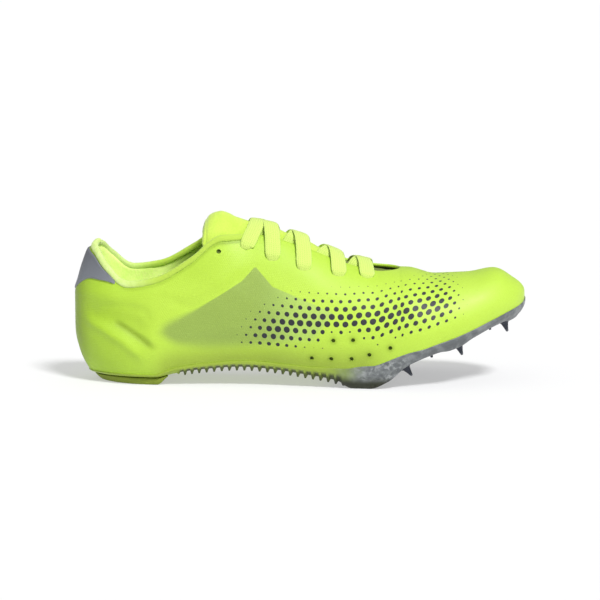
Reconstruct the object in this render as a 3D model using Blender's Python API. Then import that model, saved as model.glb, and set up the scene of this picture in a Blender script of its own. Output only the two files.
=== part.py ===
"""Right-foot track spike shoe, standing empty on its sole.

Metres, toe along +X, up +Z, inner side of the foot along +Y.  The floor is z = 0 and the
heel-to-toe length is centred on x = 0.  Every curved piece is worked out from the named
sizes and the section tables below, where each length is a share of one named size.
"""
import math

import bmesh
import bpy

MM = 0.001

# Main sizes of the shoe
LENGTH = 280 * MM
BALL_WIDTH = 90 * MM
HEEL_HEIGHT = 87.5 * MM
INSTEP_HEIGHT = 94 * MM
ARCH_RISE = 11.3 * MM
TOE_SPRING = 44 * MM
SOLE_SIDE = 15 * MM

# Walls, thicknesses and clearances
WALL = 1.8 * MM
SEAT_GAP = 0.3 * MM
TUCK_HEIGHT = 22 * MM
BINDING_STEP = 0.4 * MM
INSOLE_THICKNESS = 3 * MM
INSOLE_FIT = 0.5 * MM
PATCH_THICKNESS = 0.8 * MM
TONGUE_THICKNESS = 3 * MM
TONGUE_GAP = 1.2 * MM
TONGUE_LAP = 8 * MM

# Sole plate, its edge teeth and the heel rubber
PLATE_LIP = 0.6 * MM
PLATE_DRAFT = 2.2 * MM
PLATE_STEP = 3.5 * MM
TOOTH_PITCH = 4.6 * MM
TOOTH_DEPTH = 1.8 * MM
HEEL_RUBBER_EDGE = 1 * MM
HEEL_RUBBER_NOSE = 1.2 * MM

# Laces and spike pins
LACE_WIDTH = 8 * MM
LACE_THICKNESS = 1.4 * MM
LACE_GAP = 0.9 * MM
LACE_CROSSING_STEP = 0.6 * MM
LACE_DIP = 1.9 * MM
LACE_END_GAP = 1 * MM
LACE_TOP_RISE = 3 * MM
EYELET_INSET = 7 * MM
PIN_COLLAR_RADIUS = 4.5 * MM
PIN_COLLAR_HEIGHT = 1.6 * MM
PIN_RADIUS = 2.2 * MM
PIN_TIP_RADIUS = 0.7 * MM
PIN_LENGTH = 7.5 * MM
PIN_GAP = 0.4 * MM

# Places along the shoe, as shares of its length from the back of the heel
VAMP_POINT = 0.72
NOSE_ROUNDING = 0.7
THROAT_ROUNDING = 0.045
HEEL_LEAN_END = 0.3
HEEL_SCALE_END = 0.12
INSTEP_SCALE_START = 0.3
TEETH_START = 0.22
TEETH_END = 0.6
HEEL_RUBBER_END = 0.2
HEEL_RUBBER_FLAT_END = 0.165
BINDING_END = 0.4
BINDING_FADE = 0.075
PATCH_END = 0.088
TONGUE_START = 0.28
TONGUE_END = 0.75
LACE_ROWS = (0.382, 0.44, 0.508, 0.584, 0.646)
LACE_TOP_BOW = 0.015

# Shares of a piece's own height, width or way
BINDING_START = 0.95
PLATE_BAND = 0.4
PATCH_LOW, PATCH_LOW_CORNER = 0.57, 0.905
PATCH_HIGH, PATCH_HIGH_CORNER = 0.93, 0.935
PATCH_CURVE = 1.1
TONGUE_CROWDING = 0.3
TONGUE_WIDEST = 0.9
EYELET_LOWEST = 0.95
LACE_REACH = 0.55
LACE_FALL_START, LACE_FALL = 0.6, 0.35
PIN_COLLAR_SHOULDER, PIN_COLLAR_TOP = 0.5, 0.6

# Sections of the upper.  Half widths, centres and ridge are shares of BALL_WIDTH, tuck and gape
# are shares of the half width, and the two rims are shares of the height of the shoe there.
SECTION_COLUMNS = ("along", "half", "centre", "ridge", "tuck", "gape", "rim_out", "rim_in", "square")
SECTIONS = (
    (0.000, 0.000, 0.000, 0.000, 0.10, 0.72, 1.000, 1.000, 1.00),
    (0.020, 0.139, 0.000, 0.000, 0.10, 0.72, 0.943, 0.970, 1.00),
    (0.060, 0.242, 0.000, 0.000, 0.11, 0.76, 0.833, 0.888, 1.00),
    (0.120, 0.316, 0.000, 0.000, 0.12, 0.72, 0.721, 0.791, 1.00),
    (0.180, 0.339, 0.000, 0.000, 0.12, 0.72, 0.737, 0.797, 1.00),
    (0.260, 0.333, -0.011, 0.000, 0.13, 0.70, 0.837, 0.880, 1.00),
    (0.330, 0.322, -0.034, 0.000, 0.15, 0.58, 0.970, 0.989, 0.97),
    (0.400, 0.322, -0.050, 0.000, 0.16, 0.40, 0.973, 0.984, 0.95),
    (0.500, 0.361, -0.056, 0.005, 0.12, 0.37, 0.899, 0.904, 0.95),
    (0.600, 0.422, -0.044, 0.010, 0.07, 0.33, 0.787, 0.790, 0.92),
    (0.680, 0.478, -0.011, 0.022, 0.04, 0.30, 0.734, 0.748, 0.90),
    (0.740, 0.495, 0.008, 0.035, 0.03, 0.28, 0.738, 0.738, 0.90),
    (0.800, 0.466, 0.024, 0.048, 0.03, 0.00, 0.697, 0.697, 0.90),
    (0.870, 0.398, 0.040, 0.058, 0.03, 0.00, 0.704, 0.704, 0.90),
    (0.930, 0.305, 0.052, 0.066, 0.04, 0.00, 0.732, 0.732, 0.90),
    (0.975, 0.195, 0.064, 0.072, 0.05, 0.00, 0.668, 0.668, 0.92),
    (1.000, 0.000, 0.078, 0.078, 0.05, 0.00, 0.578, 0.578, 0.95),
)

# Underside of the plate, as shares of ARCH_RISE and TOE_SPRING, and its side, of SOLE_SIDE
SOLE_COLUMNS = ("along", "arch", "spring", "side")
SOLE = (
    (0.000, 0.400, 0.000, 0.167),
    (0.165, 0.400, 0.000, 0.167),
    (0.220, 0.640, 0.000, 0.267),
    (0.290, 0.860, 0.000, 0.300),
    (0.370, 1.000, 0.000, 0.313),
    (0.440, 0.885, 0.000, 0.333),
    (0.510, 0.664, 0.000, 0.400),
    (0.580, 0.380, 0.000, 0.587),
    (0.612, 0.000, 0.000, 0.907),
    (0.652, 0.000, 0.000, 1.000),
    (0.690, 0.000, 0.095, 0.940),
    (0.732, 0.000, 0.318, 0.580),
    (0.779, 0.000, 0.448, 0.420),
    (0.843, 0.000, 0.575, 0.430),
    (0.920, 0.000, 0.795, 0.360),
    (0.960, 0.000, 0.886, 0.400),
    (1.000, 0.000, 1.000, 0.480),
)

# Lean of the heel's back line: how far it stands in from the rearmost point, share of LENGTH
HEEL_LINE_COLUMNS = ("height", "inset")
HEEL_LINE = (
    (0.000, 0.0507),
    (0.040, 0.0396),
    (0.110, 0.0239),
    (0.205, 0.0107),
    (0.350, 0.0007),
    (0.410, 0.0000),
    (0.620, 0.0000),
    (0.720, 0.0086),
    (0.840, 0.0200),
    (0.950, 0.0350),
    (1.000, 0.0520),
)

# Tongue: its height against the upper's own dome, and its half width against the lapped width
TONGUE_COLUMNS = ("along", "height", "width")
TONGUE = (
    (0.280, 0.870, 0.62),
    (0.290, 0.925, 0.80),
    (0.318, 0.975, 1.00),
    (0.335, 1.000, 1.00),
    (0.360, 1.028, 1.00),
    (0.390, 1.040, 1.00),
    (0.445, 1.032, 1.00),
    (0.560, 1.025, 1.00),
    (0.640, 0.975, 1.00),
    (0.700, 0.935, 1.00),
    (0.750, 0.935, 0.80),
)

# Spike pins: (along, across), shares of LENGTH and of BALL_WIDTH
PINS = (
    (0.727, -0.30),
    (0.733, 0.34),
    (0.785, 0.02),
    (0.846, -0.24),
    (0.850, 0.34),
    (0.950, -0.07),
    (0.918, 0.23),
)

UPPER_STATIONS = 44
UPPER_ROWS = (0.0, 0.07, 0.15, 0.25, 0.37, 0.5, 0.63, 0.75, 0.86, 0.94, BINDING_START, 1.0)
SOLE_END_STATIONS = 14
SOLE_FRONT_STATIONS = 8
SOLE_FRONT_END = 0.7
SOLE_NOSE_STATIONS = 22
SLAB_SPREAD = (0.25, 0.5, 0.75)
INSOLE_STATIONS = 32
PATCH_STATIONS = 8
PATCH_ROWS = 5
TONGUE_STATIONS = 20
TONGUE_SPREAD = 4
LACE_STATIONS = 14
LACE_STEP = 0.02
PIN_SIDES = 12
PIN_SEAT_STEPS = 4

# Steps over which slopes are measured
STATION_STEP = 0.002
LEAN_STEP = math.radians(0.6)


def turn(along):
    """Return the half-circle share whose projection is the share `along` of the length."""
    return math.acos(max(-1.0, min(1.0, 1.0 - 2.0 * along))) / math.pi


def share_at(t):
    """Return the share of the length at the half-circle share `t`."""
    return 0.5 * (1.0 - math.cos(math.pi * t))


def ease(value):
    """Return a smooth 0 to 1 step for `value` running from 0 to 1."""
    value = max(0.0, min(1.0, value))
    return value * value * (3.0 - 2.0 * value)


def mix(a, b, share):
    """Return the point or number at `share` of the way from `a` to `b`."""
    if isinstance(a, tuple):
        return tuple(mix(i, j, share) for i, j in zip(a, b))
    return a + (b - a) * share


class Profile:
    """Smooth line through one named column of a table, which never overshoots its rows."""

    def __init__(self, columns, rows, name, spread=turn):
        column = columns.index(name)
        self.x = [spread(row[0]) for row in rows]
        self.y = [row[column] for row in rows]
        self.slopes = self.find_slopes()

    def find_slopes(self):
        """Return the slope at every row."""
        steps = [b - a for a, b in zip(self.x, self.x[1:])]
        rises = [(b - a) / h for a, b, h in zip(self.y, self.y[1:], steps)]
        slopes = [rises[0]]
        for before, after, h0, h1 in zip(rises, rises[1:], steps, steps[1:]):
            if before * after <= 0.0:
                slopes.append(0.0)
                continue
            w0 = 2.0 * h1 + h0
            w1 = h1 + 2.0 * h0
            slopes.append((w0 + w1) / (w0 / before + w1 / after))
        slopes.append(rises[-1])
        return slopes

    def __call__(self, x):
        x = max(self.x[0], min(self.x[-1], x))
        k = 0
        while k < len(self.x) - 2 and x > self.x[k + 1]:
            k += 1
        h = self.x[k + 1] - self.x[k]
        s = (x - self.x[k]) / h
        near = (1.0 + 2.0 * s) * (1.0 - s) ** 2 * self.y[k] + s * (1.0 - s) ** 2 * h * self.slopes[k]
        far = s * s * (3.0 - 2.0 * s) * self.y[k + 1] + s * s * (s - 1.0) * h * self.slopes[k + 1]
        return near + far


SECTION = {name: Profile(SECTION_COLUMNS, SECTIONS, name) for name in SECTION_COLUMNS[1:]}
UNDERSIDE = {name: Profile(SOLE_COLUMNS, SOLE, name) for name in SOLE_COLUMNS[1:]}
TONGUE_SHAPE = {name: Profile(TONGUE_COLUMNS, TONGUE, name) for name in TONGUE_COLUMNS[1:]}
HEEL_INSET = Profile(HEEL_LINE_COLUMNS, HEEL_LINE, "inset", spread=float)


def station_x(t):
    """Return the unleaned x of station `t`."""
    return LENGTH * (share_at(t) - 0.5)


def heel_lean(t, z):
    """Return how far the heel's back line carries station `t` forward at height `z`."""
    fade = 1.0 - ease(share_at(t) / HEEL_LEAN_END)
    return LENGTH * HEEL_INSET(z / HEEL_HEIGHT) * fade


def underside(t):
    """Return the height of the plate's underside."""
    return ARCH_RISE * UNDERSIDE["arch"](t) + TOE_SPRING * UNDERSIDE["spring"](t)


def feather(t):
    """Return the height of the line where the upper meets the plate."""
    return underside(t) + SOLE_SIDE * UNDERSIDE["side"](t)


def plate_top(t):
    """Return the height of the plate's upper face, clear of the upper and the insole."""
    return feather(t) - SEAT_GAP


def rubber_top(t):
    """Return the height of the heel rubber's upper face, clear of the plate."""
    return underside(t) - SEAT_GAP


def rubber_low(t):
    """Return the height of the heel rubber's underside: flat, then rising to its thin front."""
    bevel = (share_at(t) - HEEL_RUBBER_FLAT_END) / (HEEL_RUBBER_END - HEEL_RUBBER_FLAT_END)
    return mix(0.0, rubber_top(t) - HEEL_RUBBER_NOSE, max(0.0, min(1.0, bevel)))


def centre_line(t):
    """Return the y of the middle of the sole."""
    return BALL_WIDTH * SECTION["centre"](t)


def half_width(t):
    """Return the greatest half width of the upper."""
    return BALL_WIDTH * SECTION["half"](t)


def gape(t):
    """Return the half width of the opening as a share of the half width, none past the vamp."""
    left = min(1.0, max(0.0, (VAMP_POINT - share_at(t)) / THROAT_ROUNDING))
    return SECTION["gape"](t) * math.sqrt(left * (2.0 - left))


def rim_rise(t):
    """Return the angle, up from the sole, at which the wall of section `t` ends."""
    return math.acos(gape(t) ** (1.0 / SECTION["square"](t)))


def dome_height(t, side):
    """Return the height over the feather line of the dome that one side's rim lies on."""
    scale_share = (share_at(t) - HEEL_SCALE_END) / (INSTEP_SCALE_START - HEEL_SCALE_END)
    local = mix(HEEL_HEIGHT, INSTEP_HEIGHT, ease(scale_share))
    rim = local * SECTION["rim_in" if side > 0 else "rim_out"](t)
    return (rim - feather(t)) / math.sin(rim_rise(t)) ** SECTION["square"](t)


def dome_point(t, lean, scale=1.0):
    """Return a point of the upper's outer dome.

    `lean` is the angle from the ridge, negative outward and positive inward, and `scale`
    lowers the dome.
    """
    square = SECTION["square"](t)
    side = 1.0 if lean > 0.0 else -1.0
    rim_lean = math.pi / 2.0 - rim_rise(t)
    low, high = dome_height(t, -1), dome_height(t, 1)
    sway = max(-1.0, min(1.0, lean / rim_lean)) if rim_lean > 1e-6 else 0.0
    height = 0.5 * (low + high) + 0.5 * (high - low) * math.sin(math.pi / 2.0 * sway)
    rise = max(0.0, math.cos(lean)) ** square
    z = feather(t) + scale * height * rise
    spread = abs(math.sin(lean)) ** square
    tuck_left = 1.0 - min(1.0, (z - feather(t)) / TUCK_HEIGHT)
    spread *= 1.0 - SECTION["tuck"](t) * tuck_left ** 2
    ridge = BALL_WIDTH * SECTION["ridge"](t)
    y = mix(centre_line(t), ridge, rise ** 2) + side * half_width(t) * spread
    return (station_x(t) + heel_lean(t, z), y, z)


def cross(a, b):
    """Return the cross product of two vectors."""
    return (a[1] * b[2] - a[2] * b[1], a[2] * b[0] - a[0] * b[2], a[0] * b[1] - a[1] * b[0])


def less(a, b):
    """Return the vector from `b` to `a`."""
    return tuple(i - j for i, j in zip(a, b))


def moved(point, direction, distance):
    """Return `point` moved by `distance` along `direction`."""
    return tuple(p + distance * d for p, d in zip(point, direction))


def unit(vector):
    """Return the vector at length one."""
    size = math.sqrt(sum(v * v for v in vector))
    return tuple(v / size for v in vector)


def dome_normal(t, lean, scale=1.0):
    """Return the outward direction of the dome at a point."""
    if t >= 1.0:
        return unit((1.0, 0.0, math.cos(lean) * NOSE_ROUNDING))
    t0, t1 = max(0.0, t - STATION_STEP), min(1.0, t + STATION_STEP)
    lean0, lean1 = max(-math.pi / 2.0, lean - LEAN_STEP), min(math.pi / 2.0, lean + LEAN_STEP)
    along = less(dome_point(t1, lean, scale), dome_point(t0, lean, scale))
    across = less(dome_point(t, lean1, scale), dome_point(t, lean0, scale))
    normal = cross(along, across)
    if t <= 0.0:
        normal = (normal[0], 0.0, normal[2])
    return unit(normal)


def skin(t, lean, proud, scale=1.0):
    """Return the dome's point carried `proud` outward along its own normal."""
    return moved(dome_point(t, lean, scale), dome_normal(t, lean, scale), proud)


def wall_lean(t, side, share):
    """Return the lean angle at `share` of the wall's way from the sole to the rim."""
    return side * (math.pi / 2.0 - share * rim_rise(t))


def outline(t, side, inset, height):
    """Return a point of the sole's outline moved in by `inset` in plan.

    `height` gives the point's height as a function of the station that lies there.
    """
    def plain(t_here):
        spread = half_width(t_here) * (1.0 - SECTION["tuck"](t_here))
        return station_x(t_here), centre_line(t_here) + side * spread

    x0, y0 = plain(max(0.0, t - STATION_STEP))
    x1, y1 = plain(min(1.0, t + STATION_STEP))
    size = math.hypot(x1 - x0, y1 - y0)
    inward = ((y1 - y0) / size * side, -(x1 - x0) / size * side)
    if t <= 0.0:
        inward = (1.0, 0.0)
    if t >= 1.0:
        inward = (-1.0, 0.0)
    x, y = plain(t)
    x += inset * inward[0]
    there = turn(x / LENGTH + 0.5)
    z = height(there)
    return (x + heel_lean(there, z), y + inset * inward[1], z)


def slab_ring(t, rows):
    """Return a ring around a slab section from rows of inset and height, top edge to bottom."""
    outer = [outline(t, -1, inset, height) for inset, height in rows]
    inner = [outline(t, 1, inset, height) for inset, height in rows]
    top = [mix(outer[0], inner[0], share) for share in SLAB_SPREAD]
    bottom = [mix(inner[-1], outer[-1], share) for share in SLAB_SPREAD]
    return top + inner + bottom + outer[::-1]


def add_mesh(name, verts, faces, colour, roughness):
    """Make one named closed mesh object with its own material."""
    mesh = bpy.data.meshes.new(name)
    mesh.from_pydata(verts, [], faces)
    obj = bpy.data.objects.new(name, mesh)
    bpy.context.scene.collection.objects.link(obj)
    weld_mesh(mesh)
    mesh.polygons.foreach_set("use_smooth", [True] * len(mesh.polygons))
    material = bpy.data.materials.new(name + "_finish")
    material.use_nodes = True
    shader = material.node_tree.nodes["Principled BSDF"]
    shader.inputs["Base Color"].default_value = (*colour, 1.0)
    shader.inputs["Roughness"].default_value = roughness
    mesh.materials.append(material)
    return obj


def weld_mesh(mesh):
    """Join the vertices that share a place and turn all faces outward."""
    work = bmesh.new()
    work.from_mesh(mesh)
    bmesh.ops.remove_doubles(work, verts=work.verts, dist=1e-6)
    bmesh.ops.dissolve_degenerate(work, edges=work.edges, dist=1e-7)
    bmesh.ops.recalc_face_normals(work, faces=work.faces)
    work.to_mesh(mesh)
    work.free()


def loft_faces(ring_count, ring_size, start=0):
    """Return the side faces of a loft whose rings are stored one after another."""
    faces = []
    for i in range(ring_count - 1):
        for j in range(ring_size):
            k = (j + 1) % ring_size
            a, b = start + i * ring_size, start + (i + 1) * ring_size
            faces.append((a + j, a + k, b + k, b + j))
    return faces


def loft(rings, caps):
    """Return vertices and faces of a loft, with flat caps at its ends where `caps` is set."""
    size = len(rings[0])
    verts = [point for ring in rings for point in ring]
    faces = loft_faces(len(rings), size)
    if caps[0]:
        faces += strip_cap(0, size)
    if caps[1]:
        faces += strip_cap((len(rings) - 1) * size, size)
    return verts, faces


def strip_cap(start, size):
    """Return the faces that close a ring whose first and second halves face each other."""
    half = size // 2
    faces = []
    for j in range(half - 1):
        faces.append((start + j, start + j + 1, start + size - 2 - j, start + size - 1 - j))
    return faces


def build_upper():
    """Make the hollow upper: one wall, open at the collar and throat and under the foot."""
    stations = sorted({turn(VAMP_POINT), *(i / UPPER_STATIONS for i in range(UPPER_STATIONS + 1))})
    vamp = turn(VAMP_POINT)
    stations = [t for t in stations if t == vamp or abs(t - vamp) > 0.25 / UPPER_STATIONS]
    verts, index = [], {}
    for i, t in enumerate(stations):
        bound = 1.0 - ease((share_at(t) - BINDING_END) / BINDING_FADE)
        for side in (-1, 1):
            for j, share in enumerate(UPPER_ROWS):
                lean = wall_lean(t, side, share)
                step = BINDING_STEP * bound if share >= BINDING_START else 0.0
                for layer, proud in (("out", step), ("in", -WALL)):
                    index[i, side, j, layer] = len(verts)
                    verts.append(skin(t, lean, proud))
    faces = []
    top = len(UPPER_ROWS) - 1
    for i in range(len(stations) - 1):
        for side in (-1, 1):
            for layer in ("out", "in"):
                for j in range(top):
                    faces.append((index[i, side, j, layer], index[i + 1, side, j, layer],
                                  index[i + 1, side, j + 1, layer], index[i, side, j + 1, layer]))
            edges = [0] if stations[i] >= vamp else [0, top]
            for j in edges:
                faces.append((index[i, side, j, "out"], index[i + 1, side, j, "out"],
                              index[i + 1, side, j, "in"], index[i, side, j, "in"]))
    return add_mesh("Upper", verts, faces, (0.62, 0.91, 0.07), 0.6)


def build_sole_plate():
    """Make the moulded plate: toe spring, arch, thin edge with its row of small teeth."""
    first, last = LENGTH * (TEETH_START - 0.5), LENGTH * (TEETH_END - 0.5)
    halves = 2 * round((last - first) / TOOTH_PITCH)
    teeth = [turn(mix(TEETH_START, TEETH_END, i / halves)) for i in range(halves + 1)]
    back = [teeth[0] * i / SOLE_END_STATIONS for i in range(SOLE_END_STATIONS)]
    front = [turn(mix(TEETH_END, SOLE_FRONT_END, i / SOLE_FRONT_STATIONS))
             for i in range(1, SOLE_FRONT_STATIONS + 1)]
    nose = [mix(front[-1], 1.0, (i + 1) / SOLE_NOSE_STATIONS) for i in range(SOLE_NOSE_STATIONS)]
    deep = {t: i % 2 for i, t in enumerate(teeth)}
    rings = []
    for t in back + teeth + front + nose:
        drop = TOOTH_DEPTH * deep.get(t, 0)
        rows = [(-PLATE_LIP, plate_top),
                (-PLATE_LIP, lambda k: mix(plate_top(k), underside(k), PLATE_BAND)),
                (PLATE_DRAFT, lambda k: underside(k) - drop),
                (PLATE_DRAFT + PLATE_STEP, underside)]
        rings.append(slab_ring(t, rows))
    verts, faces = loft(rings, (False, False))
    return add_mesh("Sole_plate", verts, faces, (0.19, 0.23, 0.24), 0.35)


def build_heel_rubber():
    """Make the rubber pad under the heel, flat on the floor and thinning forward."""
    rings = []
    end = turn(HEEL_RUBBER_END)
    count = SOLE_END_STATIONS
    stations = {end * i / count for i in range(count + 1)} | {turn(HEEL_RUBBER_FLAT_END)}
    for t in sorted(stations):
        rows = [(PLATE_DRAFT, rubber_top), (PLATE_DRAFT + HEEL_RUBBER_EDGE, rubber_low)]
        rings.append(slab_ring(t, rows))
    verts = [point for ring in rings for point in ring]
    faces = loft_faces(len(rings), len(rings[0]))
    start = (len(rings) - 1) * len(rings[0])
    faces.append(tuple(range(start, start + len(rings[0]))))
    return add_mesh("Heel_rubber", verts, faces, (0.17, 0.22, 0.01), 0.8)


def build_insole():
    """Make the insole that lies on the plate inside the upper."""
    rings = []
    inset = WALL + INSOLE_FIT
    for i in range(INSOLE_STATIONS + 1):
        t = i / INSOLE_STATIONS
        rows = [(inset, lambda k: feather(k) + INSOLE_THICKNESS), (inset, feather)]
        rings.append(slab_ring(t, rows))
    verts, faces = loft(rings, (False, False))
    return add_mesh("Insole", verts, faces, (0.55, 0.78, 0.12), 0.9)


def build_heel_patch():
    """Make the grey patch that wraps the back of the heel under the collar's binding."""
    rings = []
    for i in range(-PATCH_STATIONS, PATCH_STATIONS + 1):
        t = turn(PATCH_END) * abs(i) / PATCH_STATIONS
        side = 1 if i > 0 else -1
        reach = abs(i) / PATCH_STATIONS
        low = mix(PATCH_LOW, PATCH_LOW_CORNER, reach ** PATCH_CURVE)
        high = mix(PATCH_HIGH, PATCH_HIGH_CORNER, reach)
        shares = [mix(low, high, j / PATCH_ROWS) for j in range(PATCH_ROWS + 1)]
        outer = [skin(t, wall_lean(t, side, s), SEAT_GAP + PATCH_THICKNESS) for s in shares]
        inner = [skin(t, wall_lean(t, side, s), SEAT_GAP) for s in shares]
        rings.append(outer + inner[::-1])
    verts, faces = loft(rings, (True, True))
    return add_mesh("Heel_patch", verts, faces, (0.17, 0.19, 0.24), 0.5)


def tongue_scale(t, lean):
    """Return the tongue's height against the dome, which it leaves only between the rims."""
    rim_lean = max(math.pi / 2.0 - rim_rise(t), 1e-6)
    between = max(0.0, math.cos(min(1.0, abs(lean) / rim_lean) * math.pi / 2.0))
    return mix(1.0, TONGUE_SHAPE["height"](t), between)


def build_tongue():
    """Make the thin tongue, which follows the inside of the throat and rises to a rounded tab."""
    rings = []
    for i in range(TONGUE_STATIONS + 1):
        way = i / TONGUE_STATIONS
        t = turn(mix(TONGUE_START, TONGUE_END, mix(way, ease(way), TONGUE_CROWDING)))
        lapped = min(TONGUE_WIDEST, gape(t) + TONGUE_LAP / half_width(t)) * TONGUE_SHAPE["width"](t)
        edge = math.asin(lapped ** (1.0 / SECTION["square"](t)))
        leans = [edge * j / TONGUE_SPREAD for j in range(-TONGUE_SPREAD, TONGUE_SPREAD + 1)]
        scales = [tongue_scale(t, lean) for lean in leans]
        proud = -(WALL + TONGUE_GAP)
        upper = [skin(t, lean, proud, scale) for lean, scale in zip(leans, scales)]
        proud -= TONGUE_THICKNESS
        lower = [skin(t, lean, proud, scale) for lean, scale in zip(leans, scales)]
        rings.append(upper + lower[::-1])
    verts, faces = loft(rings, (True, True))
    return add_mesh("Tongue", verts, faces, (0.66, 0.93, 0.12), 0.8)


def eyelet_lean(t):
    """Return the lean angle of an eyelet, set out from the throat's edge."""
    lapped = min(EYELET_LOWEST, gape(t) + EYELET_INSET / half_width(t))
    return math.asin(lapped ** (1.0 / SECTION["square"](t)))


def ribbon(start, end, lifts, bow=0.0):
    """Return the rings of a flat lace between two places given as (share along, lean angle).

    `lifts` gives the underside's height over the dome as a function of the share of the way.
    """
    def place(share):
        along = mix(start[0], end[0], share) + bow * math.sin(math.pi * share)
        return turn(along), mix(start[1], end[1], share)

    rings = []
    for i in range(LACE_STATIONS + 1):
        share = i / LACE_STATIONS
        t, lean = place(share)
        t0, lean0 = place(max(0.0, share - LACE_STEP))
        t1, lean1 = place(min(1.0, share + LACE_STEP))
        normal = dome_normal(t, lean)
        ahead = less(dome_point(t1, lean1), dome_point(t0, lean0))
        across = unit(cross(normal, ahead))
        low = skin(t, lean, lifts(share))
        high = skin(t, lean, lifts(share) + LACE_THICKNESS)
        half = LACE_WIDTH / 2.0
        rings.append([moved(high, across, -half), moved(high, across, half),
                      moved(low, across, half), moved(low, across, -half)])
    return rings


def add_ribbon(name, rings):
    """Make one lace ribbon as a closed mesh."""
    verts, faces = loft(rings, (True, True))
    return add_mesh(name, verts, faces, (0.76, 0.99, 0.22), 0.85)


def crossing_rings(front, back, side, crossing_lift):
    """Return the rings of a lace from an eyelet on one side to the far throat edge behind it."""
    t_back = turn(back)
    edge = math.asin(gape(t_back) ** (1.0 / SECTION["square"](t_back)))
    clear = LACE_END_GAP / half_width(t_back)

    def lifts(share):
        fall = LACE_DIP * ease((share - LACE_FALL_START) / LACE_FALL)
        return LACE_GAP + crossing_lift * math.sin(math.pi * share) - fall

    start = (front, side * eyelet_lean(turn(front)))
    return ribbon(start, (back, -side * (edge - clear)), lifts)


def build_laces():
    """Make the lace crossings, each one solid of two crossed ribbons, and the bar at the top."""
    for n, (back, front) in enumerate(zip(LACE_ROWS, LACE_ROWS[1:]), start=1):
        rest = mix(front, back, LACE_REACH)
        one = add_ribbon(f"Lace_crossing_{n}", crossing_rings(front, rest, -1, 0.0))
        other = add_ribbon(f"Lace_cutter_{n}", crossing_rings(front, rest, 1, LACE_CROSSING_STEP))
        other.hide_render = True
        other.display_type = "WIRE"
        union = one.modifiers.new("Crossing", "BOOLEAN")
        union.operation = "UNION"
        union.solver = "EXACT"
        union.object = other
    lean = eyelet_lean(turn(LACE_ROWS[0]))

    def lifts(share):
        return LACE_GAP + LACE_TOP_RISE * math.sin(math.pi * share)

    bar = ribbon((LACE_ROWS[0], -lean), (LACE_ROWS[0], lean), lifts, LACE_TOP_BOW)
    add_ribbon("Lace_top_bar", bar)


def build_pins():
    """Make the spike pins, each with its collar, square to the plate's underside."""
    for n, (along, across) in enumerate(PINS, start=1):
        reach = PIN_COLLAR_RADIUS / LENGTH
        under = [turn(along + reach * k / PIN_SEAT_STEPS)
                 for k in range(-PIN_SEAT_STEPS, PIN_SEAT_STEPS + 1)]
        seat = [(station_x(t), across * BALL_WIDTH, underside(t)) for t in under]
        ahead = unit(less(seat[-1], seat[0]))
        down = (ahead[2], 0.0, -ahead[0])
        side_way = (0.0, 1.0, 0.0)
        fore_way = cross(side_way, down)
        middle = seat[PIN_SEAT_STEPS]
        bulge = max(sum(i * j for i, j in zip(less(point, middle), down)) for point in seat)
        base = moved(middle, down, bulge + PIN_GAP)
        rows = ((0.0, PIN_COLLAR_RADIUS),
                (PIN_COLLAR_HEIGHT * PIN_COLLAR_SHOULDER, PIN_COLLAR_RADIUS),
                (PIN_COLLAR_HEIGHT, PIN_COLLAR_RADIUS * PIN_COLLAR_TOP),
                (PIN_COLLAR_HEIGHT, PIN_RADIUS),
                (PIN_LENGTH, PIN_TIP_RADIUS))
        verts = []
        for depth, radius in rows:
            for k in range(PIN_SIDES):
                angle = 2.0 * math.pi * k / PIN_SIDES
                point = moved(base, down, depth)
                point = moved(point, side_way, radius * math.cos(angle))
                verts.append(moved(point, fore_way, radius * math.sin(angle)))
        faces = loft_faces(len(rows), PIN_SIDES)
        faces.append(tuple(range(PIN_SIDES)))
        faces.append(tuple(range((len(rows) - 1) * PIN_SIDES, len(rows) * PIN_SIDES)))
        add_mesh(f"Spike_pin_{n}", verts, faces, (0.08, 0.09, 0.11), 0.3)


def main():
    """Clear the scene and build every piece of the shoe."""
    for obj in list(bpy.data.objects):
        bpy.data.objects.remove(obj, do_unlink=True)
    build_sole_plate()
    build_heel_rubber()
    build_upper()
    build_insole()
    build_heel_patch()
    build_tongue()
    build_laces()
    build_pins()


main()
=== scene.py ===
"""Looks of a right-foot track spike shoe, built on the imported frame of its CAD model.

Metres, toe along +X, up +Z, inner side of the foot along +Y, floor at z = 0.  The shoe's form is
worked out again here from the same sizes and section tables as its solids, on finer grids.
"""
import logging
import math
from collections.abc import Callable, Sequence
from dataclasses import dataclass
from enum import Enum

import bmesh
import bpy
import numpy as np
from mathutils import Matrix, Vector


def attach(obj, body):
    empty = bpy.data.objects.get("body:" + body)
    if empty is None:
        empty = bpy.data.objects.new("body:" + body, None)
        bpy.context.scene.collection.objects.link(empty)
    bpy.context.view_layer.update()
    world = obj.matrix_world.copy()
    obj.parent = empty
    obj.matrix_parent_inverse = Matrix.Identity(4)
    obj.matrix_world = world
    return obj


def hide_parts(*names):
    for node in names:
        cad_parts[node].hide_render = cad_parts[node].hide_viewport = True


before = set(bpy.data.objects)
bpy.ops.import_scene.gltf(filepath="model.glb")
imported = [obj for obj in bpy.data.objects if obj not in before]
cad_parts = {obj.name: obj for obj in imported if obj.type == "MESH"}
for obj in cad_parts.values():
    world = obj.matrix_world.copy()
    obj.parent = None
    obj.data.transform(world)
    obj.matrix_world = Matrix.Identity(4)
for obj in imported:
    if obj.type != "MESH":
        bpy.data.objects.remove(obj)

Array = np.ndarray
Colour = tuple[float, float, float]
Span = tuple[float, float]
Step = tuple[float, float, float, float]
Pairs = tuple[Span, ...]
Triples = tuple[tuple[float, float, float], ...]
Line = Callable[[Array], Array]
Socket = bpy.types.NodeSocket
Value = Socket | float | Sequence[float]

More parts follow.
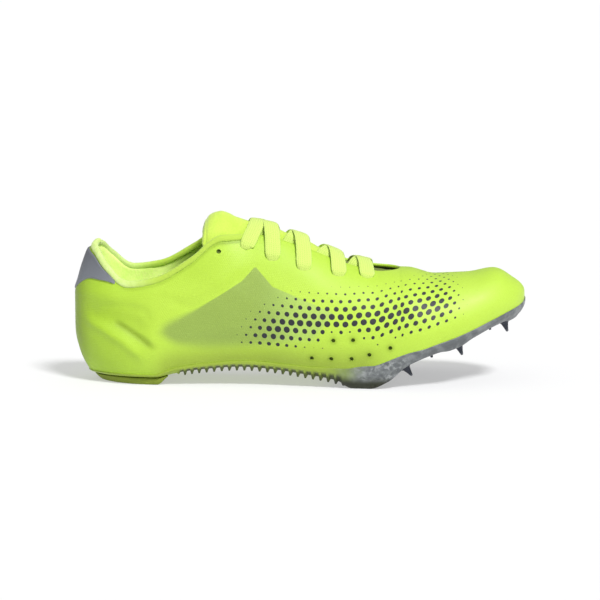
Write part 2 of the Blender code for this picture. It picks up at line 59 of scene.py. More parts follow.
LOG = logging.getLogger("track_spike")
MM = 0.001
QUARTER = math.pi / 2.0
ROUND = 2.0 * math.pi
TINY = 1e-9
FLAT = 1e-6
WELD = 2e-6
SLIVER = 1e-7
ROOT = "root"


class Side(Enum):
    """A side of the foot, as the sign of its lean angle."""

    OUTER = -1
    INNER = 1


SIDES = tuple(side.value for side in Side)


def ease(value: Array | float) -> Array:
    """Return a smooth step from 0 to 1 as the value runs from 0 to 1."""
    value = np.clip(value, 0.0, 1.0)
    return value * value * (3.0 - 2.0 * value)


def ramp(value: Array | float, start: float, end: float) -> Array:
    """Return a smooth step from 0 at the start to 1 at the end, which may lie below it."""
    return ease((value - start) / (end - start))


def bell(value: Array | float, middle: float, width: float) -> Array:
    """Return a bell curve, 1 at its middle."""
    return np.exp(-((value - middle) / width) ** 2)


def mix(a: Array | float, b: Array | float, share: Array | float) -> Array:
    """Return the value at a share of the way from a to b."""
    return a + (np.asarray(b) - a) * share


def unit(vectors: Array) -> Array:
    """Return the vectors at length one."""
    return vectors / np.maximum(np.linalg.norm(vectors, axis=-1, keepdims=True), 1e-12)


def walked(points: Array) -> Array:
    """Return the distance gone at each point along rows of points, 0 at the first."""
    runs = np.linalg.norm(np.diff(points, axis=-2), axis=-1)
    return np.concatenate([np.zeros((*runs.shape[:-1], 1)), np.cumsum(runs, axis=-1)], axis=-1)


def turn(along: Array | float) -> Array:
    """Return the half-circle share whose projection is that share of the length."""
    return np.arccos(np.clip(1.0 - 2.0 * np.asarray(along, float), -1.0, 1.0)) / math.pi


def share_at(t: Array | float) -> Array:
    """Return the share of the length at a half-circle share."""
    return 0.5 * (1.0 - np.cos(math.pi * np.asarray(t, float)))


class Profile:
    """Smooth line through one column of a table, which never overshoots its rows."""

    def __init__(self, rows: Sequence[Sequence[float]], column: int,
                 spread: Callable[[Array], Array] = turn) -> None:
        """Fit the line.

        Args:
            rows: Table rows whose first entry is the place.
            column: Index of the column to follow.
            spread: How places are spread before the fit.
        """
        table = np.array(rows, float)
        self.x = np.asarray(spread(table[:, 0]), float)
        self.y = table[:, column]
        steps = np.diff(self.x)
        rises = np.diff(self.y) / steps
        slopes = np.zeros(len(self.x))
        slopes[0], slopes[-1] = rises[0], rises[-1]
        before, after = rises[:-1], rises[1:]
        w0 = 2.0 * steps[1:] + steps[:-1]
        w1 = steps[1:] + 2.0 * steps[:-1]
        same = before * after > 0.0
        slopes[1:-1][same] = ((w0 + w1)[same] /
                              (w0[same] / before[same] + w1[same] / after[same]))
        self.slopes = slopes

    def __call__(self, x: Array | float) -> Array:
        """Return the line's height at each place."""
        x = np.clip(np.asarray(x, float), self.x[0], self.x[-1])
        k = np.clip(np.searchsorted(self.x, x) - 1, 0, len(self.x) - 2)
        h = self.x[k + 1] - self.x[k]
        s = (x - self.x[k]) / h
        near = (1 + 2 * s) * (1 - s) ** 2 * self.y[k] + s * (1 - s) ** 2 * h * self.slopes[k]
        far = s * s * (3 - 2 * s) * self.y[k + 1] + s * s * (s - 1) * h * self.slopes[k + 1]
        return near + far


# along, half width, centre, ridge, tuck, gape, outer rim, inner rim, square
SECTIONS = (
    (0.000, 0.000, 0.000, 0.000, 0.10, 0.72, 1.000, 1.000, 1.00),
    (0.020, 0.139, 0.000, 0.000, 0.10, 0.72, 0.943, 0.970, 1.00),
    (0.060, 0.242, 0.000, 0.000, 0.11, 0.76, 0.833, 0.888, 1.00),
    (0.120, 0.316, 0.000, 0.000, 0.12, 0.72, 0.721, 0.791, 1.00),
    (0.180, 0.339, 0.000, 0.000, 0.12, 0.72, 0.737, 0.797, 1.00),
    (0.260, 0.333, -0.011, 0.000, 0.13, 0.70, 0.837, 0.880, 1.00),
    (0.330, 0.322, -0.034, 0.000, 0.15, 0.58, 0.970, 0.989, 0.97),
    (0.400, 0.322, -0.050, 0.000, 0.16, 0.40, 0.973, 0.984, 0.95),
    (0.500, 0.361, -0.056, 0.005, 0.12, 0.37, 0.899, 0.904, 0.95),
    (0.600, 0.422, -0.044, 0.010, 0.07, 0.33, 0.787, 0.790, 0.92),
    (0.680, 0.478, -0.011, 0.022, 0.04, 0.30, 0.734, 0.748, 0.90),
    (0.740, 0.495, 0.008, 0.035, 0.03, 0.28, 0.738, 0.738, 0.90),
    (0.800, 0.466, 0.024, 0.048, 0.03, 0.00, 0.697, 0.697, 0.90),
    (0.870, 0.398, 0.040, 0.058, 0.03, 0.00, 0.704, 0.704, 0.90),
    (0.930, 0.305, 0.052, 0.066, 0.04, 0.00, 0.732, 0.732, 0.90),
    (0.975, 0.195, 0.064, 0.072, 0.05, 0.00, 0.668, 0.668, 0.92),
    (1.000, 0.000, 0.078, 0.078, 0.05, 0.00, 0.578, 0.578, 0.95),
)

# along, arch, spring, side
SOLE = (
    (0.000, 0.400, 0.000, 0.167),
    (0.165, 0.400, 0.000, 0.167),
    (0.220, 0.640, 0.000, 0.267),
    (0.290, 0.860, 0.000, 0.300),
    (0.370, 1.000, 0.000, 0.313),
    (0.440, 0.885, 0.000, 0.333),
    (0.510, 0.664, 0.000, 0.400),
    (0.580, 0.380, 0.000, 0.587),
    (0.612, 0.000, 0.000, 0.907),
    (0.652, 0.000, 0.000, 1.000),
    (0.690, 0.000, 0.095, 0.940),
    (0.732, 0.000, 0.318, 0.580),
    (0.779, 0.000, 0.448, 0.420),
    (0.843, 0.000, 0.575, 0.430),
    (0.920, 0.000, 0.795, 0.360),
    (0.960, 0.000, 0.886, 0.400),
    (1.000, 0.000, 1.000, 0.480),
)

# height, inset of the heel's back line
HEEL_LINE = (
    (0.000, 0.0507),
    (0.040, 0.0396),
    (0.110, 0.0239),
    (0.205, 0.0107),
    (0.350, 0.0007),
    (0.410, 0.0000),
    (0.620, 0.0000),
    (0.720, 0.0086),
    (0.840, 0.0200),
    (0.950, 0.0350),
    (1.000, 0.0520),
)

# along, height, width of the tongue
TONGUE = (
    (0.280, 0.870, 0.62),
    (0.290, 0.925, 0.80),
    (0.318, 0.975, 1.00),
    (0.335, 1.000, 1.00),
    (0.360, 1.028, 1.00),
    (0.390, 1.040, 1.00),
    (0.445, 1.032, 1.00),
    (0.560, 1.025, 1.00),
    (0.640, 0.975, 1.00),
    (0.700, 0.935, 1.00),
    (0.750, 0.935, 0.80),
)

# share of the length, share of the ball's width
PIN_PLACES = (
    (0.727, -0.30), (0.733, 0.34), (0.785, 0.02), (0.846, -0.24), (0.850, 0.34), (0.950, -0.07),
    (0.918, 0.23),
)


@dataclass
class Last:
    """The shoe's form: the upper's dome, the sole's outline and the heights between them."""

    length: float = 280 * MM
    ball_width: float = 90 * MM
    heel_height: float = 87.5 * MM
    instep_height: float = 94 * MM
    arch_rise: float = 11.3 * MM
    toe_spring: float = 44 * MM
    sole_side: float = 15 * MM
    tuck_height: float = 22 * MM
    wall: float = 1.8 * MM
    vamp_point: float = 0.72
    throat_rounding: float = 0.045
    heel_lean_end: float = 0.3
    heel_scale_end: float = 0.12
    instep_scale_start: float = 0.3
    nose_rounding: float = 0.7
    probe: float = 0.002
    probe_lean: float = math.radians(0.6)

    def __post_init__(self) -> None:
        """Fit the lines through the tables."""
        names = ("half", "centre", "ridge", "tuck", "gape", "rim_out", "rim_in", "square")
        self.section = {name: Profile(SECTIONS, i + 1) for i, name in enumerate(names)}
        names = ("arch", "spring", "side")
        self.sole = {name: Profile(SOLE, i + 1) for i, name in enumerate(names)}
        self.heel_inset = Profile(HEEL_LINE, 1, spread=np.asarray)

    def station_x(self, t: Array) -> Array:
        """Return the unleaned x of a station."""
        return self.length * (share_at(t) - 0.5)

    def heel_lean(self, t: Array, z: Array) -> Array:
        """Return how far the heel's back line carries a station forward at a height."""
        fade = 1.0 - ease(share_at(t) / self.heel_lean_end)
        return self.length * self.heel_inset(z / self.heel_height) * fade

    def underside(self, t: Array) -> Array:
        """Return the height of the plate's underside."""
        return self.arch_rise * self.sole["arch"](t) + self.toe_spring * self.sole["spring"](t)

    def feather(self, t: Array) -> Array:
        """Return the height of the line where the upper meets the plate."""
        return self.underside(t) + self.sole_side * self.sole["side"](t)

    def centre_line(self, t: Array) -> Array:
        """Return the y of the middle of the sole."""
        return self.ball_width * self.section["centre"](t)

    def half_width(self, t: Array) -> Array:
        """Return the greatest half width of the upper."""
        return self.ball_width * self.section["half"](t)

    def gape(self, t: Array) -> Array:
        """Return the opening's half width as a share of the half width, none past the vamp."""
        left = np.clip((self.vamp_point - share_at(t)) / self.throat_rounding, 0.0, 1.0)
        return self.section["gape"](t) * np.sqrt(left * (2.0 - left))

    def rim_rise(self, t: Array) -> Array:
        """Return the angle, up from the sole, at which the wall ends."""
        return np.arccos(self.gape(t) ** (1.0 / self.section["square"](t)))

    def wall_lean(self, t: Array, side: Array, share: Array) -> Array:
        """Return the lean angle at a share of the wall's way from the sole to the rim."""
        return side * (QUARTER - share * self.rim_rise(t))

    def dome_height(self, t: Array, rim: str) -> Array:
        """Return the height over the feather line of the dome that a side's rim lies on."""
        span = self.instep_scale_start - self.heel_scale_end
        local = mix(self.heel_height, self.instep_height,
                    ease((share_at(t) - self.heel_scale_end) / span))
        top = local * self.section[rim](t)
        return (top - self.feather(t)) / np.sin(self.rim_rise(t)) ** self.section["square"](t)

    def dome_point(self, t: Array, lean: Array, scale: Array | float = 1.0) -> Array:
        """Return points of the upper's outer dome.

        Args:
            t: Stations along the shoe.
            lean: Angles from the ridge, negative on the outer side.
            scale: Height of the dome against its own.

        Returns:
            Points, with x, y and z along the last axis.
        """
        t, lean, scale = np.broadcast_arrays(t, lean, scale)
        square = self.section["square"](t)
        side = np.where(lean > 0.0, 1.0, -1.0)
        rim_lean = QUARTER - self.rim_rise(t)
        low, high = self.dome_height(t, "rim_out"), self.dome_height(t, "rim_in")
        sway = np.where(rim_lean > FLAT, np.clip(lean / np.maximum(rim_lean, FLAT), -1, 1), 0.0)
        height = 0.5 * (low + high) + 0.5 * (high - low) * np.sin(QUARTER * sway)
        rise = np.maximum(0.0, np.cos(lean)) ** square
        z = self.feather(t) + scale * height * rise
        spread = np.abs(np.sin(lean)) ** square
        tuck_left = 1.0 - np.minimum(1.0, (z - self.feather(t)) / self.tuck_height)
        spread = spread * (1.0 - self.section["tuck"](t) * tuck_left ** 2)
        ridge = self.ball_width * self.section["ridge"](t)
        y = mix(self.centre_line(t), ridge, rise ** 2) + side * self.half_width(t) * spread
        return np.stack([self.station_x(t) + self.heel_lean(t, z), y, z], axis=-1)

    def dome_normal(self, t: Array, lean: Array, scale: Array | float = 1.0) -> Array:
        """Return the outward directions of the dome.

        Args:
            t: Stations along the shoe.
            lean: Angles from the ridge.
            scale: Height of the dome against its own.

        Returns:
            Unit vectors.
        """
        t, lean, scale = np.broadcast_arrays(np.asarray(t, float), lean, scale)
        along = (self.dome_point(np.minimum(1.0, t + self.probe), lean, scale)
                 - self.dome_point(np.maximum(0.0, t - self.probe), lean, scale))
        across = (self.dome_point(t, np.minimum(QUARTER, lean + self.probe_lean), scale)
                  - self.dome_point(t, np.maximum(-QUARTER, lean - self.probe_lean), scale))
        normal = np.cross(along, across)
        normal[..., 1] = np.where(t <= 0.0, 0.0, normal[..., 1])
        nose = np.stack([np.ones_like(lean), np.zeros_like(lean),
                         self.nose_rounding * np.cos(lean)], axis=-1)
        return unit(np.where((t >= 1.0)[..., None], nose, unit(normal)))

    def skin(self, t: Array, lean: Array, proud: Array | float = 0.0,
             scale: Array | float = 1.0) -> Array:
        """Return dome points carried outward along their normals.

        Args:
            t: Stations along the shoe.
            lean: Angles from the ridge.
            proud: Distance outward.
            scale: Height of the dome against its own.

        Returns:
            Points, with x, y and z along the last axis.
        """
        out = np.asarray(proud, float)[..., None] * self.dome_normal(t, lean, scale)
        return self.dome_point(t, lean, scale) + out

    def outline(self, t: Array, side: int, inset: float, height: Line) -> Array:
        """Return points of the sole's outline moved in by an inset in plan.

        Args:
            t: Stations along the shoe.
            side: -1 for the outer edge, 1 for the inner.
            inset: Distance moved in, negative to stand out.
            height: Height as a function of the station that lies there.

        Returns:
            Points, with x, y and z along the last axis.
        """
        def plain(here: Array) -> tuple[Array, Array]:
            """Return the plan place of the outline itself."""
            spread = self.half_width(here) * (1.0 - self.section["tuck"](here))
            return self.station_x(here), self.centre_line(here) + side * spread

        t = np.asarray(t, float)
        x0, y0 = plain(np.maximum(0.0, t - self.probe))
        x1, y1 = plain(np.minimum(1.0, t + self.probe))
        size = np.hypot(x1 - x0, y1 - y0)
        ix, iy = (y1 - y0) / size * side, -(x1 - x0) / size * side
        ix = np.where(t <= 0.0, 1.0, np.where(t >= 1.0, -1.0, ix))
        iy = np.where((t <= 0.0) | (t >= 1.0), 0.0, iy)
        x, y = plain(t)
        x = x + inset * ix
        there = turn(x / self.length + 0.5)
        z = height(there)
        return np.stack([x + self.heel_lean(there, z), y + inset * iy, z], axis=-1)


def grid_faces(rows: int, columns: int, ring: bool = False, start: int = 0) -> Array:
    """Return the quads of a grid of points stored row by row.

    Args:
        rows: Number of rows.
        columns: Points in a row.
        ring: Whether each row closes on itself.
        start: Index of the first point.

    Returns:
        Point indices, four to a face.
    """
    wide = columns if ring else columns - 1
    i, j = np.meshgrid(np.arange(rows - 1), np.arange(wide), indexing="ij")
    a = i * columns + j
    b = i * columns + (j + 1) % columns
    return (np.stack([a, b, b + columns, a + columns], axis=-1) + start).reshape(-1, 4)


def tube_faces(rows: int, size: int, capped: bool = True) -> list[list[int]]:
    """Return the faces of rings joined into a tube.

    Args:
        rows: Number of rings.
        size: Points in a ring.
        capped: Whether the first ring is closed too, as the last one is.

    Returns:
        Point indices of each face.
    """
    faces = grid_faces(rows, size, ring=True).tolist()
    if capped:
        faces.append(list(range(size)))
    return [*faces, list(range((rows - 1) * size, rows * size))]


def bilinear(table: Array, xs: Array, x: Array, y: Array) -> Array:
    """Return a table's value between its rows, placed at xs, and its evenly spread columns.

    Args:
        table: Values, a row for each of xs.
        xs: Places of the rows.
        x: Places wanted along the rows.
        y: Shares wanted across the columns, 0 to 1.

    Returns:
        One value for each place.
    """
    i = np.clip(np.searchsorted(xs, x) - 1, 0, len(xs) - 2)
    fx = np.clip((x - xs[i]) / (xs[i + 1] - xs[i]), 0.0, 1.0)
    last = table.shape[1] - 1
    j = np.clip((y * last).astype(int), 0, last - 1)
    fy = y * last - j
    near = mix(table[i, j], table[i, j + 1], fy)
    return mix(near, mix(table[i + 1, j], table[i + 1, j + 1], fy), fx)


def line_distance(x: Array, z: Array, line: Sequence[tuple[float, float]]) -> tuple[Array, Array]:
    """Return the distance of places from a broken line, and the share of the way along it.

    Args:
        x: First coordinates of the places.
        z: Second coordinates of the places.
        line: Corners of the line, in the same unit.

    Returns:
        Distances, and shares from 0 at the line's start to 1 at its end.
    """
    corners = np.array(line, float)
    runs = np.hypot(*np.diff(corners, axis=0).T)
    gone = np.concatenate([[0.0], np.cumsum(runs)])
    best = np.full(x.shape, np.inf)
    share = np.zeros(x.shape)
    for k, run in enumerate(runs):
        (ax, az), (bx, bz) = corners[k], corners[k + 1]
        s = np.clip(((x - ax) * (bx - ax) + (z - az) * (bz - az)) / run ** 2, 0.0, 1.0)
        d = np.hypot(x - ax - s * (bx - ax), z - az - s * (bz - az))
        nearer = d < best
        best = np.where(nearer, d, best)
        share = np.where(nearer, (gone[k] + s * run) / gone[-1], share)
    return best, share


def loop_distance(x: Array, z: Array, loop: Sequence[tuple[float, float]]) -> Array:
    """Return the distance of places from a closed loop's line, negative inside it."""
    closed = list(loop) + [loop[0]]
    distance, _ = line_distance(x, z, closed)
    inside = np.zeros(x.shape, bool)
    for (ax, az), (bx, bz) in zip(closed, closed[1:]):
        if az == bz:
            continue
        spans = (az > z) != (bz > z)
        inside ^= spans & (x < (bx - ax) * (z - az) / (bz - az) + ax)
    return np.where(inside, -distance, distance)


def add_object(name: str, data: bpy.types.ID) -> bpy.types.Object:
    """Return a new object of the scene, of a mesh, a camera or a light."""
    thing = bpy.data.objects.new(name, data)
    bpy.context.scene.collection.objects.link(thing)
    return thing


def close_work(work: bmesh.types.BMesh, mesh: bpy.types.Mesh, material: bpy.types.Material,
               closed: bool = False) -> None:
    """Weld a mesh under work, drop its slivers and write it with its finish.

    Args:
        work: The mesh under work, which is freed.
        mesh: Where it goes.
        material: Its finish.
        closed: Whether it is closed, so that its faces can be turned outward.
    """
    bmesh.ops.remove_doubles(work, verts=work.verts, dist=WELD)
    bmesh.ops.dissolve_degenerate(work, edges=work.edges, dist=SLIVER)
    if closed:
        bmesh.ops.recalc_face_normals(work, faces=work.faces)
    work.to_mesh(mesh)
    work.free()
    mesh.polygons.foreach_set("use_smooth", [True] * len(mesh.polygons))
    mesh.materials.append(material)


def make_piece(name: str, points: Array, faces: Array | list, material: bpy.types.Material,
               marks: dict[str, Array] | None = None, closed: bool = True) -> bpy.types.Object:
    """Make one smooth mesh piece.

    Args:
        name: Name of the piece.
        points: Corners, three coordinates each.
        faces: Corner indices of each face.
        material: Finish of the piece.
        marks: Values kept at each corner for the finish, one or three numbers each.
        closed: Whether the mesh is closed, so that its faces can be turned outward.

    Returns:
        The new object.
    """
    mesh = bpy.data.meshes.new(name)
    rows = faces.tolist() if isinstance(faces, np.ndarray) else faces
    mesh.from_pydata(np.asarray(points).reshape(-1, 3).tolist(), [], rows)
    for key, values in (marks or {}).items():
        values = np.asarray(values, np.float32)
        kind, field = ("FLOAT_VECTOR", "vector") if values.ndim > 1 else ("FLOAT", "value")
        mesh.attributes.new(key, kind, "POINT").data.foreach_set(field, values.ravel())
    work = bmesh.new()
    work.from_mesh(mesh)
    close_work(work, mesh, material, closed)
    return add_object(name, mesh)


def fit_piece(piece: bpy.types.Object, slot: str, *nodes: str) -> bpy.types.Object:
    """Place a piece on the shoe's one body and hide the solids that it replaces.

    Args:
        piece: The piece.
        slot: Not used.
        nodes: Names of the solids that it replaces.

    Returns:
        The same piece.
    """
    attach(piece, ROOT)
    if nodes:
        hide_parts(*nodes)
    LOG.info("%s: %d faces", piece.name, len(piece.data.polygons))
    return piece


class Graph:
    """Node graph of one material, with short calls for the nodes that the finishes share."""

    def __init__(self, name: str) -> None:
        """Start a material with its one shader."""
        self.material = bpy.data.materials.new(name)
        self.material.use_nodes = True
        self.tree = self.material.node_tree
        self.shader = self.tree.nodes["Principled BSDF"]

    def put(self, value: Value, target: Socket) -> None:
        """Link a socket into a target, or set the target to a plain value."""
        if isinstance(value, bpy.types.NodeSocket):
            self.tree.links.new(value, target)
        elif hasattr(target.default_value, "__len__"):
            target.default_value = (*value, 1.0)[:len(target.default_value)]
        else:
            target.default_value = value

    def set(self, **values: Value) -> None:
        """Put values on the shader, each named as its socket with _ for a space."""
        for key, value in values.items():
            self.put(value, self.shader.inputs[key.replace("_", " ")])

    def node(self, kind: str, *first: Value, **named: Value) -> bpy.types.Node:
        """Return a new node.

        Args:
            kind: Its type's name after ShaderNode.
            first: Values of its first inputs, in their order.
            named: Values of other inputs, by name.

        Returns:
            The node.
        """
        node = self.tree.nodes.new("ShaderNode" + kind)
        for value, target in zip(first, node.inputs):
            self.put(value, target)
        for key, value in named.items():
            self.put(value, node.inputs[key])
        return node

    def mark(self, name: str, output: str = "Fac") -> Socket:
        """Return a value that the mesh keeps at its corners."""
        node = self.node("Attribute")
        node.attribute_name = name
        return node.outputs[output]

    def place(self) -> Socket:
        """Return the place on the object, in metres."""
        return self.node("TexCoord").outputs["Object"]

    def parts(self, vector: Socket) -> tuple[Socket, Socket, Socket]:
        """Return a vector's three numbers."""
        return tuple(self.node("SeparateXYZ", vector).outputs)

    def stretch(self, vector: Socket, scale: Sequence[float]) -> Socket:
        """Return a vector multiplied number by number."""
        node = self.node("VectorMath", vector, scale)
        node.operation = "MULTIPLY"
        return node.outputs[0]

    def maths(self, operation: str, *values: Socket | float) -> Socket:
        """Return the result of one sum."""
        node = self.node("Math", *values)
        node.operation = operation
        return node.outputs[0]

    def times(self, *values: Socket | float) -> Socket:
        """Return the product of two values."""
        return self.maths("MULTIPLY", *values)

    def add(self, *values: Socket | float) -> Socket:
        """Return the sum of two values."""
        return self.maths("ADD", *values)

    def less(self, *values: Socket | float) -> Socket:
        """Return the first of two values less the second."""
        return self.maths("SUBTRACT", *values)

    def sway(self, noise: Socket, size: float) -> Socket:
        """Return noise as a shift to both sides of 0, of at most half the size."""
        return self.times(self.less(noise, 0.5), size)

    def step(self, value: Socket, low: float, high: float, bottom: float = 0.0,
             top: float = 1.0) -> Socket:
        """Return a smooth step of a value.

        Args:
            value: What is followed.
            low: Where the step starts.
            high: Where it ends.
            bottom: Result at low.
            top: Result at high.

        Returns:
            The stepped value.
        """
        node = self.node("MapRange", value, low, high, bottom, top)
        node.interpolation_type = "SMOOTHSTEP"
        return node.outputs[0]

    def noise(self, vector: Socket, scale: float, detail: float = 3.0,
              roughness: float = 0.55) -> Socket:
        """Return fractal noise.

        Args:
            vector: Where it is read.
            scale: Grains in one unit of that vector.
            detail: Number of finer layers.
            roughness: Weight of the finer layers.

        Returns:
            Values near 0 to 1.
        """
        return self.node("TexNoise", Vector=vector, Scale=scale, Detail=detail,
                         Roughness=roughness).outputs["Fac"]

    def cells(self, vector: Socket, scale: float, output: str = "Distance") -> Socket:
        """Return the distance pattern, or the random colours, of scattered cells."""
        return self.node("TexVoronoi", Vector=vector, Scale=scale).outputs[output]

    def blend(self, share: Socket | float, a: Socket | Colour, b: Socket | Colour) -> Socket:
        """Return the colour at a share of the way from a to b."""
        node = self.node("Mix")
        node.data_type = "RGBA"
        self.put(share, node.inputs["Factor"])
        for value, target in zip((a, b), (s for s in node.inputs if s.type == "RGBA")):
            self.put(value, target)
        return next(s for s in node.outputs if s.type == "RGBA")

    def lattice(self, vector: Socket, pitch: float) -> Socket:
        """Return the distance from the nearest point of a staggered lattice.

        Args:
            vector: Place on the surface.
            pitch: Distance between neighbours in a row, in the same unit.

        Returns:
            Distances, in that unit.
        """
        row_pitch = pitch * math.sqrt(3.0) / 2.0
        u, v, _ = self.parts(vector)
        row = self.maths("DIVIDE", v, row_pitch)
        odd = self.times(self.maths("MODULO", self.maths("FLOOR", row), 2.0), 0.5)
        column = self.add(self.maths("DIVIDE", u, pitch), odd)
        du = self.times(self.less(self.maths("FRACT", column), 0.5), pitch)
        dv = self.times(self.less(self.maths("FRACT", row), 0.5), row_pitch)
        return self.maths("SQRT", self.add(self.times(du, du), self.times(dv, dv)))

    def relief(self, *layers: tuple[Socket, float]) -> Socket:
        """Return the normal of a bumpy surface.

        Args:
            layers: Heights, each with the depth in metres that a height of 1 stands for.

        Returns:
            The normal.
        """
        normal = None
        for height, depth in layers:
            node = self.node("Bump", Strength=1.0, Distance=depth, Height=height)
            if normal is not None:
                self.put(normal, node.inputs["Normal"])
            normal = node.outputs[0]
        return normal


class Finish:
    """One finish of the shoe."""

    name: str

    def build(self) -> bpy.types.Material:
        """Return the material."""
        g = Graph(self.name)
        self.dress(g)
        return g.material

    def dress(self, g: Graph) -> None:
        """Set the shader's values."""
        raise NotImplementedError


@dataclass(frozen=True)
class SkinTextile(Finish):
    """Thin coated textile of the upper, with its sheer panel, its field of fading dots, and
    painted shade and a painted toe highlight in its colour.

    Spans are the places in metres where a change starts and ends.
    """

    name: str = "Skin_textile"
    body: Colour = (0.495, 0.735, 0.058)
    heel: Colour = (0.420, 0.660, 0.034)
    # low: colour of the painted shade on the wall's low band, where it tucks under towards the
    # plate; also of random darker specks
    low: Colour = (0.330, 0.455, 0.036)
    # colour of the paler toe patch, partly the toe's own tone and partly a painted highlight; also
    # of random paler specks
    pale: Colour = (0.575, 0.790, 0.135)
    sheer: Colour = (0.290, 0.420, 0.070)
    sheer_pale: Colour = (0.370, 0.540, 0.150)
    # colour of the painted shade in the creases, round the vents, under the binding and down the
    # heel's back edge
    crease: Colour = (0.240, 0.370, 0.014)
    dot: Colour = (0.020, 0.021, 0.028)
    dot_pitch: float = 5.6
    dot_edge: float = 0.10
    mesh_pitch: float = 1.25
    heel_span: Span = (-0.075, -0.128)
    # heights where the painted shade on the upper's top starts and ends
    top_shade_span: Span = (0.050, 0.074)
    window_span: Span = (-0.030, 0.005)
    # places in x of the painted shade down the heel's back edge, turned away from the light
    back_shade_span: Span = (-0.1270, -0.1385)
    top_shade_share: float = 0.5
    back_shade_share: float = 0.80
    # share of the painted shade on the low band and round the vents
    shade_share: float = 0.85
    wander: float = 0.03
    cloud_scale: float = 28.0
    speck_scale: float = 0.9
    speck_low: Step = (0.52, 0.74, 0.0, 0.16)
    speck_pale: Step = (0.46, 0.26, 0.0, 0.20)
    grain_scale: float = 2600.0
    gloss: Step = (0.3, 0.7, 0.46, 0.60)
    weave_depth: float = 0.05 * MM
    grain_depth: float = 0.04 * MM
    print_depth: float = 0.06 * MM

    def dress(self, g: Graph) -> None:
        """Set the shader's values."""
        place, surface = g.place(), g.mark("surface", "Vector")
        x, _, z = g.parts(place)
        cloud = g.noise(place, self.cloud_scale)
        wave = g.sway(cloud, self.wander)
        colour = g.blend(g.step(g.add(x, wave), *self.heel_span), self.body, self.heel)
        # painted shade on the wall's low band, where it tucks under towards the plate
        colour = g.blend(g.times(g.mark("low"), self.shade_share), colour, self.low)
        # paler toe patch: partly the toe's own tone, partly a painted highlight
        colour = g.blend(g.mark("pale"), colour, self.pale)
        # painted shade on the upper's top, towards the heel colour, toning down the key light
        # there
        colour = g.blend(g.step(z, *self.top_shade_span, 0.0, self.top_shade_share), colour, self.heel)
        inside = g.step(g.mark("sheer"), 1.0, -1.0)
        window = g.blend(g.step(x, *self.window_span), self.sheer, self.sheer_pale)
        colour = g.blend(g.times(inside, g.mark("tint")), colour, window)
        # painted shade in the creases
        colour = g.blend(g.mark("dark"), colour, self.crease)
        # painted shade round the vents and painted shadow under the binding
        colour = g.blend(g.times(g.mark("vent"), self.shade_share), colour, self.crease)
        # painted shade down the heel's back edge
        colour = g.blend(g.step(x, *self.back_shade_span, 0.0, self.back_shade_share), colour, self.crease)
        speck = g.noise(surface, self.speck_scale, 2.0, 0.7)
        colour = g.blend(g.step(speck, *self.speck_low), colour, self.low)
        colour = g.blend(g.step(speck, *self.speck_pale), colour, self.pale)
        near = g.less(g.mark("dots"), g.lattice(surface, self.dot_pitch))
        printed = g.step(near, -self.dot_edge, self.dot_edge)
        colour = g.blend(printed, colour, self.dot)
        mesh = g.lattice(surface, self.mesh_pitch)
        weave = g.maths("SINE", g.times(mesh, ROUND / self.mesh_pitch))
        grain = g.noise(place, self.grain_scale, 2.0, 0.6)
        g.set(Base_Color=colour, Roughness=g.step(cloud, *self.gloss),
              Normal=g.relief((weave, self.weave_depth), (grain, self.grain_depth),
                              (printed, self.print_depth)),
              Sheen_Weight=0.12, Sheen_Roughness=0.4, Specular_IOR_Level=0.42,
              Coat_Weight=0.10, Coat_Roughness=0.35)


@dataclass(frozen=True)
class KnitLining(Finish):
    """Soft knitted cloth, of the collar's lining, its binding and the tongue."""

    name: str
    colour: Colour
    shade: Colour
    rib: float = 1.1
    rib_stretch: float = 0.6
    depth: float = 0.1 * MM
    fuzz_scale: float = 3000.0
    fuzz_share: float = 0.4
    mottle_scale: float = 90.0
    mottle: Step = (0.35, 0.70, 0.0, 0.55)
    loop_shade: Step = (0.35, 0.75, 0.0, 0.35)
    roughness: float = 0.85
    # a colour blended in from front_start to front_end along x; on the lining and the tongue it is
    # painted shadow
    front: Colour | None = None
    front_start: float = 0.0
    front_end: float = 1.0
    # emission behind the front: painted light, an emission that brightens the cloth there
    painted_glow: float = 0.0

    def dress(self, g: Graph) -> None:
        """Set the shader's values."""
        place = g.place()
        mottled = g.noise(place, self.mottle_scale)
        loops = g.cells(g.stretch(place, (1.0, 1.0, self.rib_stretch)), 1.0 / (self.rib * MM))
        colour = g.blend(g.step(mottled, *self.mottle), self.colour, self.shade)
        colour = g.blend(g.step(loops, *self.loop_shade), colour, self.shade)
        if self.front:
            ahead = g.step(g.parts(place)[0], self.front_start, self.front_end)
            colour = g.blend(ahead, colour, self.front)
            # painted light: the cloth glows behind the front
            if self.painted_glow:
                g.set(Emission_Color=colour,
                      Emission_Strength=g.times(g.less(1.0, ahead), self.painted_glow))
        fuzz = g.noise(place, self.fuzz_scale, 2.0, 0.7)
        g.set(Base_Color=colour, Roughness=self.roughness, Sheen_Weight=0.35, Sheen_Roughness=0.5,
              Specular_IOR_Level=0.25,
              Normal=g.relief((loops, -self.depth), (fuzz, self.depth * self.fuzz_share)))


